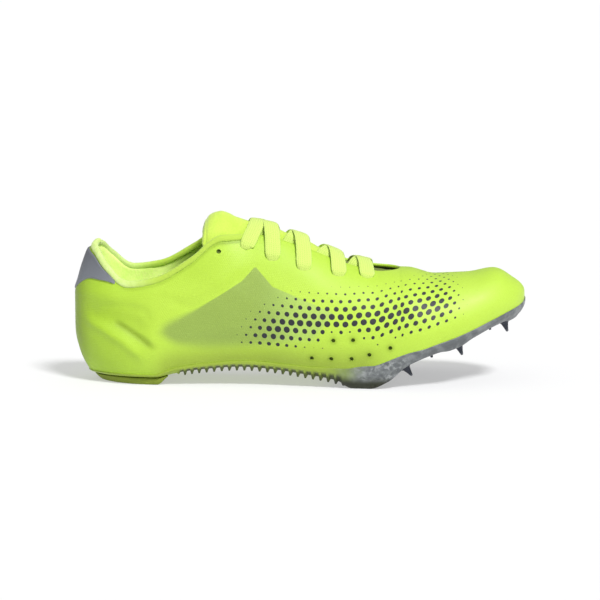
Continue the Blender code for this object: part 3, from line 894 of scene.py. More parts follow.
@dataclass(frozen=True)
class LaceWeave(Finish):
    """Flat woven lace: slanting yarns that meet along its middle, with a corded edge."""

    name: str = "Lace_weave"
    yarn: Colour = (0.620, 0.800, 0.165)
    shade: Colour = (0.400, 0.560, 0.070)
    pitch: float = 1.3
    column_pitch: float = 1.4
    slope: float = 0.9
    dip: Step = (0.0, -1.0, 0.0, 0.6)
    fuzz_scale: float = 2400.0
    yarn_depth: float = 0.09 * MM
    fuzz_depth: float = 0.05 * MM

    def dress(self, g: Graph) -> None:
        """Set the shader's values."""
        u, v, _ = g.parts(g.mark("surface", "Vector"))
        slant = g.add(u, g.times(g.maths("ABSOLUTE", v), self.slope))
        yarns = g.maths("SINE", g.times(slant, ROUND / self.pitch))
        columns = g.maths("SINE", g.times(v, ROUND / self.column_pitch))
        height = g.times(g.add(yarns, columns), 0.5)
        fuzz = g.noise(g.place(), self.fuzz_scale, 2.0, 0.7)
        colour = g.blend(g.step(height, *self.dip), self.yarn, self.shade)
        g.set(Base_Color=colour, Roughness=0.8, Sheen_Weight=0.35, Specular_IOR_Level=0.3,
              Normal=g.relief((height, self.yarn_depth), (fuzz, self.fuzz_depth)))


@dataclass(frozen=True)
class PlateResin(Finish):
    """Moulded plate: neon at the heel and arch, turning to glossy slate under the forefoot, with
    painted shade on its teeth, a painted contact shadow and painted glints.

    Spans are the places in metres where a change starts and ends.
    """

    name: str = "Plate_resin"
    # an olive darker than the upper's neon: partly the plate's own colour, partly painted shade of
    # its side
    neon: Colour = (0.300, 0.415, 0.036)
    # darker neon: painted shade in the gaps between the teeth and on their tips
    neon_shade: Colour = (0.062, 0.082, 0.008)
    slate: Colour = (0.115, 0.127, 0.134)
    slate_pale: Colour = (0.205, 0.222, 0.228)
    # silvery colour of the painted glints on the forefoot's side
    glint: Colour = (0.400, 0.420, 0.425)
    # near-black of the painted contact shadow on the forefoot's side, near the floor
    foot: Colour = (0.022, 0.026, 0.010)
    turn_span: Span = (0.012, 0.044)
    glint_spans: Pairs = ((0.026, 0.044), (0.074, 0.056))
    contact_shade_height: Span = (0.0090, 0.0030)
    contact_shade_spans: Pairs = ((0.008, 0.026), (0.064, 0.050))
    contact_shade_wander: float = 0.15
    wander: float = 0.02
    cloud_scale: float = 60.0
    stain_scale: float = 160.0
    stain: Span = (0.4, 0.68)
    patch_scale: float = 420.0
    patch_stretch: tuple[float, float, float] = (1.0, 0.6, 1.5)
    shard_scale: float = 300.0
    shard: Span = (0.35, 0.60)
    metal: float = 0.6
    gloss: Step = (0.3, 0.7, 0.36, 0.52)
    grain_scale: float = 1500.0
    grain_depth: float = 0.03 * MM

    def dress(self, g: Graph) -> None:
        """Set the shader's values."""
        place = g.place()
        x, _, z = g.parts(place)
        cloud = g.noise(place, self.cloud_scale)
        drift = g.sway(cloud, self.wander)
        change = g.step(g.add(x, drift), *self.turn_span)
        # painted shade in the gaps between the teeth and on their tips
        neon = g.blend(g.mark("gap"), self.neon, self.neon_shade)
        stain = g.step(g.noise(place, self.stain_scale), *self.stain)
        slate = g.blend(stain, self.slate, self.slate_pale)
        # painted glints: random silvery cells on the forefoot's side, also made metallic
        cells = g.cells(g.stretch(place, self.patch_stretch), self.patch_scale, "Color")
        shard = g.times(g.parts(cells)[0],
                        g.step(g.noise(place, self.shard_scale, 2.0), *self.shard))
        zone = g.times(*(g.step(x, *span) for span in self.glint_spans))
        shine = g.times(shard, zone)
        colour = g.blend(shine, g.blend(change, neon, slate), self.glint)
        # painted contact shadow on the lowest millimetres of the forefoot's side
        low = g.step(g.add(z, g.times(drift, self.contact_shade_wander)), *self.contact_shade_height)
        low = g.times(low, g.times(*(g.step(x, *span) for span in self.contact_shade_spans)))
        colour = g.blend(low, colour, self.foot)
        grain = g.noise(place, self.grain_scale, 2.0)
        g.set(Base_Color=colour, Metallic=g.times(shine, self.metal),
              Roughness=g.step(cloud, *self.gloss), Specular_IOR_Level=0.45,
              Coat_Weight=0.12, Coat_Roughness=0.25, Normal=g.relief((grain, self.grain_depth)))


@dataclass(frozen=True)
class TreadRubber(Finish):
    """Matt olive rubber, its dark olive partly painted shade of the heel's underside, with a fine
    moulded grain and dusty high spots.
    """

    name: str = "Tread_rubber"
    colour: Colour = (0.220, 0.290, 0.024)
    dust: Colour = (0.290, 0.365, 0.052)
    dust_scale: float = 140.0
    dusty: Step = (0.45, 0.75, 0.0, 0.7)
    gloss: Step = (0.3, 0.7, 0.62, 0.85)
    grain_scale: float = 1400.0
    grain_depth: float = 0.05 * MM

    def dress(self, g: Graph) -> None:
        """Set the shader's values."""
        place = g.place()
        dusty = g.noise(place, self.dust_scale, 4.0)
        grain = g.cells(place, self.grain_scale)
        g.set(Base_Color=g.blend(g.step(dusty, *self.dusty), self.colour, self.dust),
              Roughness=g.step(dusty, *self.gloss), Specular_IOR_Level=0.35,
              Normal=g.relief((grain, -self.grain_depth)))


@dataclass(frozen=True)
class FilmGrey(Finish):
    """Satin grey film pressed on the back of the heel."""

    name: str = "Film_grey"
    colour: Colour = (0.125, 0.132, 0.152)
    pale: Colour = (0.200, 0.216, 0.245)
    pale_span: Span = (0.088, 0.060)
    wander: float = 0.012
    weave_pitch: float = 1.1
    weave_depth: float = 0.06 * MM
    cloud_scale: float = 110.0
    gloss: Step = (0.3, 0.7, 0.34, 0.50)

    def dress(self, g: Graph) -> None:
        """Set the shader's values."""
        place = g.place()
        cloud = g.noise(place, self.cloud_scale)
        height = g.add(g.parts(place)[2], g.sway(cloud, self.wander))
        weave = g.lattice(g.mark("surface", "Vector"), self.weave_pitch)
        g.set(Base_Color=g.blend(g.step(height, *self.pale_span), self.colour, self.pale),
              Roughness=g.step(cloud, *self.gloss), Specular_IOR_Level=0.5,
              Coat_Weight=0.15, Coat_Roughness=0.3, Normal=g.relief((weave, self.weave_depth)))


@dataclass(frozen=True)
class PinMetal(Finish):
    """Dark coated metal of the spike pins, worn bright at the tips."""

    name: str = "Pin_metal"
    coat: Colour = (0.045, 0.050, 0.065)
    bare: Colour = (0.300, 0.310, 0.330)
    wear_scale: float = 900.0
    wear: Span = (0.35, 0.65)
    gloss_scale: float = 500.0
    gloss: Step = (0.3, 0.7, 0.25, 0.42)
    grain_scale: float = 2500.0
    grain_depth: float = 0.03 * MM

    def dress(self, g: Graph) -> None:
        """Set the shader's values."""
        place = g.place()
        worn = g.times(g.mark("worn"), g.step(g.noise(place, self.wear_scale), *self.wear))
        g.set(Base_Color=g.blend(worn, self.coat, self.bare), Metallic=0.75,
              Roughness=g.step(g.noise(place, self.gloss_scale), *self.gloss),
              Normal=g.relief((g.noise(place, self.grain_scale), self.grain_depth)))


@dataclass(frozen=True)
class PaintedHoleShade(Finish):
    """Painted shade behind the punched holes: a dark colour, twisted a little like mesh."""

    name: str = "Painted_hole_shade"
    colour: Colour = (0.085, 0.125, 0.012)
    paler: float = 1.6
    twist_scale: float = 1800.0
    twist: Span = (0.3, 0.7)
    twist_depth: float = 0.06 * MM

    def dress(self, g: Graph) -> None:
        """Set the shader's values."""
        twist = g.noise(g.place(), self.twist_scale, 2.0)
        lighter_shade = tuple(self.paler * c for c in self.colour)
        g.set(Base_Color=g.blend(g.step(twist, *self.twist), self.colour, lighter_shade),
              Roughness=0.8, Normal=g.relief((twist, self.twist_depth)))


@dataclass
class Studio:
    """Camera at the outer side of the shoe, a pale floor and soft light from above."""

    aim: tuple[float, float, float] = (-0.00015, 0.0, 0.0493)
    lens: float = 150.0
    sensor: float = 36.0
    frame_width: float = 0.3732
    elevation: float = 8.0
    floor_size: float = 60.0
    key_towards: tuple[float, float, float] = (0.42, -0.66, 1.0)
    key_strength: float = 3.0
    key_angle: float = 13.0
    sky_low: float = 0.28
    sky_high: float = 0.50
    floor_colour: Colour = (0.50, 0.50, 0.505)
    floor_glow: float = 0.42

    def build_camera(self) -> None:
        """Make the camera and aim it."""
        data = bpy.data.cameras.new("Camera")
        data.lens, data.sensor_width = self.lens, self.sensor
        data.clip_end = 100.0
        camera = add_object("Camera", data)
        rise = math.radians(self.elevation)
        back = Vector((0.0, -math.cos(rise), math.sin(rise)))
        camera.location = Vector(self.aim) + back * (self.frame_width * self.lens / self.sensor)
        camera.rotation_mode = "QUATERNION"
        camera.rotation_quaternion = (-back).to_track_quat("-Z", "Y")
        bpy.context.scene.camera = camera

    def build_floor(self) -> None:
        """Make the floor, plain and almost white."""
        half = self.floor_size / 2.0
        mesh = bpy.data.meshes.new("Floor")
        mesh.from_pydata([(-half, -half, 0), (half, -half, 0), (half, half, 0), (-half, half, 0)],
                         [], [(0, 1, 2, 3)])
        g = Graph("Floor_paper")
        g.set(Base_Color=self.floor_colour, Roughness=0.95, Specular_IOR_Level=0.0,
              Emission_Color=(1.0, 1.0, 1.0), Emission_Strength=self.floor_glow)
        mesh.materials.append(g.material)
        floor = add_object("Floor", mesh)

    def build_light(self) -> None:
        """Make the white sky, brighter overhead, and one large soft key light."""
        scene = bpy.context.scene
        scene.view_settings.view_transform = "Standard"
        world = bpy.data.worlds.new("Sky")
        world.use_nodes = True
        scene.world = world
        tree = world.node_tree
        direction = tree.nodes.new("ShaderNodeTexCoord").outputs["Generated"]
        split = tree.nodes.new("ShaderNodeSeparateXYZ")
        tree.links.new(direction, split.inputs[0])
        lift = tree.nodes.new("ShaderNodeMapRange")
        lift.inputs["To Min"].default_value = self.sky_low
        lift.inputs["To Max"].default_value = self.sky_high
        tree.links.new(split.outputs[2], lift.inputs["Value"])
        tree.links.new(lift.outputs[0], tree.nodes["Background"].inputs["Strength"])
        tree.nodes["Background"].inputs["Color"].default_value = (1.0, 1.0, 1.0, 1.0)
        data = bpy.data.lights.new("Key", "SUN")
        data.energy = self.key_strength
        data.angle = math.radians(self.key_angle)
        key = add_object("Key", data)
        key.rotation_mode = "QUATERNION"
        key.rotation_quaternion = Vector(self.key_towards).to_track_quat("Z", "Y")


@dataclass(frozen=True)
class Crease:
    """A soft trough or ridge of the upper, along a broken line in x and z millimetres."""

    side: Side
    depth: float
    width: float
    line: Pairs
    # share of painted shade laid along the line
    dark: float = 0.0
    fade: float = 0.25

    def raise_at(self, x: Array, z: Array) -> Array:
        """Return its share of height at places, fading at both ends of its line."""
        distance, share = line_distance(x, z, self.line)
        ends = ease(share / self.fade) * ease((1.0 - share) / self.fade)
        return bell(distance, 0.0, self.width) * ends


@dataclass
class Lacing:
    """Places of the lace rows and eyelets on the upper."""

    last: Last
    rows: tuple[float, ...] = (0.382, 0.44, 0.508, 0.584, 0.646)
    spare_row: float = 0.322
    insets: tuple[float, ...] = (4.5 * MM, 7.5 * MM, 9.1 * MM, 8.7 * MM, 7.2 * MM)
    spare_height: float = 82.4 * MM
    widest: float = 0.95
    samples: int = 181

    def lean_of(self, t: float, spread: float) -> float:
        """Return the lean angle at which the wall is out by that share of its half width."""
        return math.asin(spread ** (1.0 / float(self.last.section["square"](t))))

    def edge_lean(self, t: float) -> float:
        """Return the lean angle of the throat's edge."""
        return self.lean_of(t, float(self.last.gape(t)))

    def eyelet_lean(self, along: float) -> float:
        """Return the lean angle of an eyelet, set out from the throat's edge."""
        t = float(turn(along))
        inset = self.insets[self.rows.index(along)] / float(self.last.half_width(t))
        return self.lean_of(t, min(self.widest, float(self.last.gape(t)) + inset))

    def lean_at_height(self, t: float, side: int, z: float) -> float:
        """Return the lean angle at which a station's outer surface has a height."""
        leans = np.linspace(QUARTER, 0.0, self.samples) * side
        heights = self.last.dome_point(np.full(leans.shape, t), leans)[:, 2]
        return float(np.interp(z, heights, leans))

    def eyelets(self) -> list[tuple[float, float]]:
        """Return station and lean of every eyelet, the spare ones behind the top row too."""
        places = []
        spare = float(turn(self.spare_row))
        for side in SIDES:
            places += [(float(turn(along)), side * self.eyelet_lean(along)) for along in self.rows]
            places.append((spare, self.lean_at_height(spare, side, self.spare_height)))
        return places


@dataclass
class UpperShell:
    """Outer wall of the upper, with its creases, punched eyelets and vents.

    Places and spans are in mm, a span from where a change starts to where it ends.
    """

    last: Last
    lacing: Lacing
    stations: int = 388
    close_stations: int = 24
    close_gap: float = 0.4
    rows: int = 92
    hem_rows: int = 8
    hem_probe: float = 0.98
    hem_up: float = 90.0
    bottom_share: float = -0.01
    bottom_turn: float = 0.9 * MM
    eyelet_radius: float = 2.0 * MM
    spare_radius: float = 1.4 * MM
    vent_radius: float = 1.2 * MM
    punch_depth: float = 1.5 * MM
    punch_reach: float = 2.0 * MM
    refine_reach: float = 2.2 * MM
    refine_cuts: int = 3
    girth_share: float = 0.4
    vents: Pairs = (
        (7.0, 18.6), (18.8, 18.6), (31.2, 18.9), (41.9, 21.6), (54.6, 25.9), (20.1, 29.9),
        (32.0, 30.4))
    vent_calm: float = 4.5
    vent_loss: float = 3.2
    vent_shade: float = 2.1
    sheer_loop: Pairs = (
        (-88, 33), (-84, 37.5), (-72, 43.4), (-62.4, 48.2), (-46.8, 57.6), (-35.6, 64.8),
        (-27.5, 73.3), (-17, 61.4), (6, 52), (20, 46), (8, 30), (-30, 25), (-58, 23), (-76, 26))
    sheer_limit: float = 20.0
    tint_spans: Pairs = ((-92.0, -79.0), (15.0, 32.0), (-24.0, 6.0))
    tint_front: float = 0.55
    soft_edges: Span = (4.0, 0.35)
    soft_spans: Pairs = ((-86.0, -52.0), (26.0, 42.0))
    dot_line: Pairs = ((-38, 28), (0, 41), (48, 43.5), (92, 52))
    dot_size: float = 2.35
    dot_reach: float = 22.0
    dot_power: float = 0.8
    dot_loss: float = 0.25
    dot_spans: Pairs = ((-52.0, -12.0), (112.0, 82.0))
    dot_foot: Span = (12.0, 7.0)
    foot_loss: float = 2.5
    # middle and width in x, then in z, of the paler toe patch, partly a painted highlight
    pale_highlight_spot: Pairs = ((104.0, 17.0), (54.0, 8.0))
    pale_highlight_share: float = 0.3
    # spans of the painted shade on the low band: height up the wall, then x at the heel and at the
    # toe
    low_shade_spans: Pairs = ((17.0, 0.0), (-96.0, -82.0), (60.0, 36.0))
    # distance below the rim and width, in mm, of the painted shadow line under the binding
    binding_shadow_place: Span = (4.4, 1.1)
    calm_spans: Pairs = ((-139.5, -127.5), (138.0, 126.0))
    ripple: float = 0.12
    ripple_bend: float = 1.7
    ripple_lengths: Step = (6.3, 9.0, 5.1, 17.0)
    # x in mm, darkness of the painted shadow line under the binding
    binding_shadow_line: Pairs = (
        (-118, 0.0), (-108, 0.35), (-75, 0.45), (-56, 0.55), (-46, 0.95), (-33, 0.95), (-29, 0.0))
    # each crease ends with its share of painted shade
    creases: tuple[Crease, ...] = (
        Crease(Side.OUTER, -1.6, 7.0, ((-138, 44), (-120, 44.5), (-104, 41.0), (-90, 30.0)), 0.22),
        Crease(Side.OUTER, -0.6, 3.0, ((-126, 48.5), (-108, 49.0), (-96, 46.0), (-88, 36)), 0.0),
        Crease(Side.OUTER, -0.9, 2.3, ((-118, 41.5), (-107, 35.5), (-97, 29.0), (-87, 21)), 0.85),
        Crease(Side.OUTER, 1.3, 3.4, ((-137, 42), (-122, 35.0), (-108, 26.5), (-92, 14.0)), 0.0),
        Crease(Side.OUTER, 0.5, 5.0, ((-100, 62), (-70, 54), (-48, 66), (-24, 82)), 0.0),
        Crease(Side.OUTER, -0.35, 3.0, ((-92, 57), (-66, 48.5), (-44, 61), (-22, 77)), 0.0),
        Crease(Side.INNER, -1.1, 7.5, ((-134, 43), (-114, 44.0), (-98, 38), (-86, 26)), 0.10),
        Crease(Side.INNER, -0.5, 3.2, ((-112, 37.0), (-100, 31.0), (-86, 22)), 0.20),
        Crease(Side.INNER, 0.7, 4.0, ((-134, 40), (-116, 33), (-98, 20)), 0.0),
        Crease(Side.INNER, -0.5, 4.0, ((-70, 52), (-40, 40), (-8, 30)), 0.0),
        Crease(Side.OUTER, -0.35, 2.6, ((52, 53), (66, 44), (74, 33)), 0.10),
        Crease(Side.INNER, -0.45, 2.6, ((48, 54), (62, 44), (70, 32)), 0.12),
        Crease(Side.OUTER, -0.30, 2.4, ((66, 53), (80, 46), (90, 38)), 0.06),
        Crease(Side.INNER, -0.35, 2.4, ((64, 54), (78, 47), (88, 40)), 0.06),
    )

    def station_list(self) -> Array:
        """Return the stations, closer together at the throat's rounded end."""
        vamp = float(turn(self.last.vamp_point))
        back = self.last.throat_rounding * np.linspace(0.0, 1.0, self.close_stations) ** 2
        close = turn(self.last.vamp_point - back)
        base = np.linspace(0.0, 1.0, self.stations + 1)
        gap = self.close_gap / self.stations
        kept = base[(base < close[-1] - gap) | (base > vamp + gap)]
        return np.unique(np.concatenate([kept, close]))

    def relief(self, points: Array, side: Array) -> tuple[Array, Array]:
        """Return how far the creases carry the surface outward, and how much painted shade they
        lay on it.

        Args:
            points: Places on the plain surface.
            side: -1 or 1 for each.

        Returns:
            Distances in metres, and shares of darkness.
        """
        x, z = points[:, 0] / MM, points[:, 2] / MM
        out, dark = np.zeros(len(x)), np.zeros(len(x))
        for crease in self.creases:
            here = side == crease.side.value
            height = crease.raise_at(x[here], z[here])
            out[here] += crease.depth * height
            dark[here] = np.maximum(dark[here], crease.dark * height)
        calm, toe = (ramp(x, *span) for span in self.calm_spans)
        a, b, c, d = self.ripple_lengths
        ripple = np.sin(x / a + self.ripple_bend * np.sin(z / b)) * np.sin(z / c + x / d)
        return (out * calm + self.ripple * ripple * calm * toe) * MM, dark

    def marks(self, points: Array, climb: Array, around: Array, below: Array) -> dict[str, Array]:
        """Return the values that the finish reads at each corner.

        Args:
            points: Places on the surface.
            climb: Distance up the wall from the sole, in metres.
            around: Distance along the wall, in metres, near x away from the toe and heel.
            below: Distance down the wall from its rim, in metres.

        Returns:
            Named values.
        """
        x, z, up = points[:, 0] / MM, points[:, 2] / MM, climb / MM
        line, _ = line_distance(x, z, self.dot_line)
        vent = np.min([np.hypot(x - vx, z - vz) for vx, vz in self.vents], axis=0)
        fade = math.prod(ramp(x, *span) for span in self.dot_spans)
        near = np.clip(1.0 - line / self.dot_reach, 0.0, 1.0)
        dots = self.dot_size * near ** self.dot_power * fade
        dots -= self.dot_loss + self.vent_loss * bell(vent, 0.0, self.vent_calm)
        dots -= self.foot_loss * ramp(up, *self.dot_foot)
        # paler toe patch, partly a painted highlight
        pale = bell(x, *self.pale_highlight_spot[0]) * bell(z, *self.pale_highlight_spot[1])
        # painted shade on the wall's lowest band, where it tucks under towards the plate
        low = math.prod(ramp(v, *span) for v, span in zip((up, x, x), self.low_shade_spans))
        back, rise, front = (ramp(v, *span) for v, span in zip((x, z, x), self.tint_spans))
        sharp = math.prod(ramp(v, *span) for v, span in zip((x, z), self.soft_spans))
        sheer = loop_distance(x, z, self.sheer_loop) / mix(*self.soft_edges, sharp)
        # painted shadow line just under the binding
        seam = np.interp(x, *np.array(self.binding_shadow_line).T) * bell(below / MM, *self.binding_shadow_place)
        return {
            "surface": np.stack([around / MM, up, z], axis=-1),
            "sheer": np.clip(sheer, -self.sheer_limit, self.sheer_limit),
            "tint": back * rise * mix(1.0, self.tint_front, front),
            "dots": dots, "pale": self.pale_highlight_share * pale, "low": low,
            # painted shade round each vent, and the painted shadow line under the binding
            "vent": np.maximum(bell(vent, 0.0, self.vent_shade), seam),
        }

    @staticmethod
    def join_grid(work: bmesh.types.BMesh, verts: list[bmesh.types.BMVert], rows: int,
                  columns: int, side: int) -> None:
        """Join corners, stored row by row, with faces that look outward on their side."""
        for quad in grid_faces(rows, columns).tolist():
            order = quad if side > 0 else quad[::-1]
            work.faces.new([verts[i] for i in order])

    @staticmethod
    def write_marks(work: bmesh.types.BMesh, marks: dict[str, Array]) -> None:
        """Keep values at the corners, under their names."""
        kinds = {key: "float_vector" if values.ndim > 1 else "float"
                 for key, values in marks.items()}
        for key, kind in kinds.items():
            getattr(work.verts.layers, kind).new(key)
        layers = [(getattr(work.verts.layers, kinds[key])[key], values.tolist())
                  for key, values in marks.items()]
        for vert in work.verts:
            for layer, values in layers:
                vert[layer] = values[vert.index]

    def refine(self, work: bmesh.types.BMesh, holes: list[tuple[Array, float]],
               plain: Array) -> None:
        """Cut the faces around each hole into smaller ones.

        Args:
            work: Mesh whose corners hold station, share and side.
            holes: Centre and radius of each hole.
            plain: Place of each corner on the shoe.
        """
        faces = list(work.faces)
        middles = np.array([(plain[f.verts[0].index] + plain[f.verts[2].index]) / 2.0
                            for f in faces])
        edges = set()
        for centre, radius in holes:
            near = np.linalg.norm(middles - centre, axis=1) < radius + self.refine_reach
            for k in np.nonzero(near)[0]:
                edges.update(faces[k].edges)
        bmesh.ops.subdivide_edges(work, edges=list(edges), cuts=self.refine_cuts,
                                  use_grid_fill=True)

    def evaluate(self, work: bmesh.types.BMesh) -> tuple[Array, ...]:
        """Number the corners and return the station, share, side, place and direction of each."""
        work.verts.index_update()
        data = np.array([v.co for v in work.verts])
        t, s, side = np.clip(data[:, 0], 0.0, 1.0), data[:, 1], np.sign(data[:, 2])
        lean = self.last.wall_lean(t, side, np.clip(s, 0.0, 1.0))
        return t, s, side, self.last.dome_point(t, lean), self.last.dome_normal(t, lean)

    def holes(self) -> list[tuple[Array, float]]:
        """Return centre and radius of every eyelet and vent."""
        eyelets = [(self.last.dome_point(np.float64(t), np.float64(lean)), radius)
                   for t, lean, radius in self.eyelets()]
        return eyelets + [(self.place_at(x, z, side), self.vent_radius)
                          for side in SIDES for x, z in self.vents]

    def build(self) -> bpy.types.Object:
        """Make the wall.

        Returns:
            The piece.
        """
        last, ts = self.last, self.station_list()
        shares = np.concatenate([[self.bottom_share], np.linspace(0.0, 1.0, self.rows + 1)])
        work = bmesh.new()
        for side in SIDES:
            t, s = np.meshgrid(ts, shares, indexing="ij")
            corners = np.stack([t, s, np.full(t.shape, float(side))], axis=-1).reshape(-1, 3)
            verts = [work.verts.new(corner) for corner in corners.tolist()]
            self.join_grid(work, verts, len(ts), len(shares), side)
        holes = self.holes()
        self.refine(work, holes, self.evaluate(work)[3])

        t, s, side, plain, normal = self.evaluate(work)
        out, dark = self.relief(plain, side)
        points = plain + normal * out[:, None]
        points[:, 2] -= np.where(s < 0.0, self.bottom_turn, 0.0)
        tt, ss = np.meshgrid(ts, shares[1:], indexing="ij")
        length = [walked(last.dome_point(tt, last.wall_lean(tt, k, ss))) for k in SIDES]
        climb = np.where(side < 0, *(bilinear(table, ts, t, np.clip(s, 0.0, 1.0))
                                     for table in length))
        height = np.where(side < 0, *(np.interp(t, ts, table[:, -1]) for table in length))
        marks = self.marks(plain, climb, self.distance_along(t), height - climb)
        # dark: the painted shade of the creases
        self.write_marks(work, {**marks, "dark": dark})
        for vert, point in zip(work.verts, points.tolist()):
            vert.co = point

        home = {vert: k for k, vert in enumerate(work.verts)}
        for centre, radius in holes:
            self.punch(work, home, centre, radius, normal, plain)
        self.add_hem(work, ts)
        mesh = bpy.data.meshes.new("Upper_shell")
        close_work(work, mesh, SkinTextile().build())
        return fit_piece(add_object("Upper_shell", mesh), "upper", "Upper")

    def eyelets(self) -> list[tuple[float, float, float]]:
        """Return station, lean and radius of every eyelet."""
        spare = float(turn(self.lacing.spare_row))
        return [(t, lean, self.spare_radius if t == spare else self.eyelet_radius)
                for t, lean in self.lacing.eyelets()]

    def distance_along(self, t: Array) -> Array:
        """Return the distance of stations along the outer wall, 0 at the middle of the shoe."""
        ts = np.linspace(0.0, 1.0, 4 * self.stations + 1)
        gone = walked(self.last.dome_point(ts, self.last.wall_lean(ts, -1, self.girth_share)))
        return np.interp(t, ts, gone) - np.interp(0.5, ts, gone)

    def lean_at(self, x: float, z: float, side: int) -> tuple[float, float]:
        """Return station and lean of the surface at x and z millimetres on one side."""
        t = float(turn(x * MM / self.last.length + 0.5))
        return t, self.lacing.lean_at_height(t, side, z * MM)

    def place_at(self, x: float, z: float, side: int) -> Array:
        """Return the surface's place at x and z millimetres on one side."""
        return self.last.dome_point(*map(np.float64, self.lean_at(x, z, side)))

    def punch(self, work: bmesh.types.BMesh, home: dict[bmesh.types.BMVert, int], centre: Array,
              radius: float, normal: Array, plain: Array) -> None:
        """Cut a round hole and turn its edge inward.

        Args:
            work: The wall.
            home: Row of each of its corners in the last two lists.
            centre: Middle of the hole on the plain surface.
            radius: Its radius.
            normal: Outward direction at each corner.
            plain: Plain place of each corner.
        """
        distance = np.linalg.norm(plain - centre, axis=1)
        out = normal[int(np.argmin(distance))]
        reach = radius + self.punch_reach
        near = [v for v, k in home.items() if distance[k] < reach and v.is_valid]
        faces = {f for v in near for f in v.link_faces if all(w in home for w in f.verts)}
        middle = {f: np.mean([plain[home[v]] for v in f.verts], axis=0) for f in faces}
        gone = [f for f in faces if np.linalg.norm(middle[f] - centre) < radius]
        edge_verts = {v for f in gone for v in f.verts}
        kept = {v for v in edge_verts if any(f not in gone for f in v.link_faces)}
        borders = [e for f in gone for e in f.edges if any(g not in gone for g in e.link_faces)]
        for vert in kept:
            arm = np.array(vert.co) - centre
            arm -= out * (arm @ out)
            flat = np.array(vert.co) - arm
            vert.co = flat + arm * (radius / max(np.linalg.norm(arm), TINY))
        pairs = [tuple(e.verts) for e in set(borders)]
        deep = {}
        bmesh.ops.delete(work, geom=gone, context="FACES_KEEP_BOUNDARY")
        for a, b in pairs:
            for v in (a, b):
                if v not in deep:
                    deep[v] = work.verts.new(v.co - Vector(out) * self.punch_depth, v)
            work.faces.new((b, a, deep[a], deep[b]))

    def add_hem(self, work: bmesh.types.BMesh, ts: Array) -> None:
        """Turn the wall over its rim in a thin round edge, down to the end of the throat.

        Args:
            work: The wall.
            ts: Its stations.
        """
        last = self.last
        here = ts[ts <= float(turn(last.vamp_point)) + TINY]
        layers = work.verts.layers
        sheer, dots = layers.float["sheer"], layers.float["dots"]
        surface = layers.float_vector["surface"]
        half = last.wall / 2.0
        for side in SIDES:
            lean = last.wall_lean(here, side, 1.0)
            rim, out = last.dome_point(here, lean), last.dome_normal(here, lean)
            up = unit(rim - last.dome_point(here, last.wall_lean(here, side, self.hem_probe)))
            drop, _ = self.relief(rim, np.full(len(here), side))
            rows = [rim + out * (drop[:, None] * (angle == 0.0) - half + half * math.cos(angle))
                    + up * half * math.sin(angle)
                    for angle in np.linspace(0.0, math.pi, self.hem_rows)]
            verts = []
            for point in np.stack(rows, axis=1).reshape(-1, 3).tolist():
                vert = work.verts.new(point)
                vert[sheer], vert[dots] = self.sheer_limit, -1.0
                vert[surface] = (point[0] / MM, self.hem_up, point[2] / MM)
                verts.append(vert)
            self.join_grid(work, verts, len(here), self.hem_rows, side)


@dataclass
class HoleShadeDiscs:
    """Dark dished discs at the bottom of the spare eyelets and the vents: painted shade inside the
    holes.
    """

    last: Last
    shell: UpperShell
    depth: float = 1.3 * MM
    sides: int = 20
    rings: Pairs = ((0.05, 0.2), (0.6, 0.12), (1.12, 0.0))

    def build(self) -> bpy.types.Object:
        """Make the shade disc of every open hole as one piece."""
        shell = self.shell
        places = [(t, lean, radius) for t, lean, radius in shell.eyelets()
                  if radius == shell.spare_radius]
        places += [(*shell.lean_at(x, z, side), shell.vent_radius)
                   for side in SIDES for x, z in shell.vents]
        angle = np.linspace(0.0, ROUND, self.sides, endpoint=False)
        points, faces = [], []
        for t, lean, radius in places:
            middle = self.last.dome_point(np.float64(t), np.float64(lean))
            out = self.last.dome_normal(np.float64(t), np.float64(lean))
            fore = unit(np.cross(out, (0.0, 1.0, 0.0)))
            edge = np.cos(angle)[:, None] * fore + np.sin(angle)[:, None] * np.cross(out, fore)
            start = sum(map(len, points))
            rows = [middle - out * (self.depth + dish * MM) + radius * share * edge
                    for share, dish in self.rings]
            points.append(np.concatenate(rows))
            faces += grid_faces(len(rows), self.sides, ring=True, start=start).tolist()
            faces.append(list(range(start, start + self.sides)))
        piece = make_piece("Hole_shade_discs", np.concatenate(points), faces, PaintedHoleShade().build(),
                           closed=False)
        return fit_piece(piece, "upper")


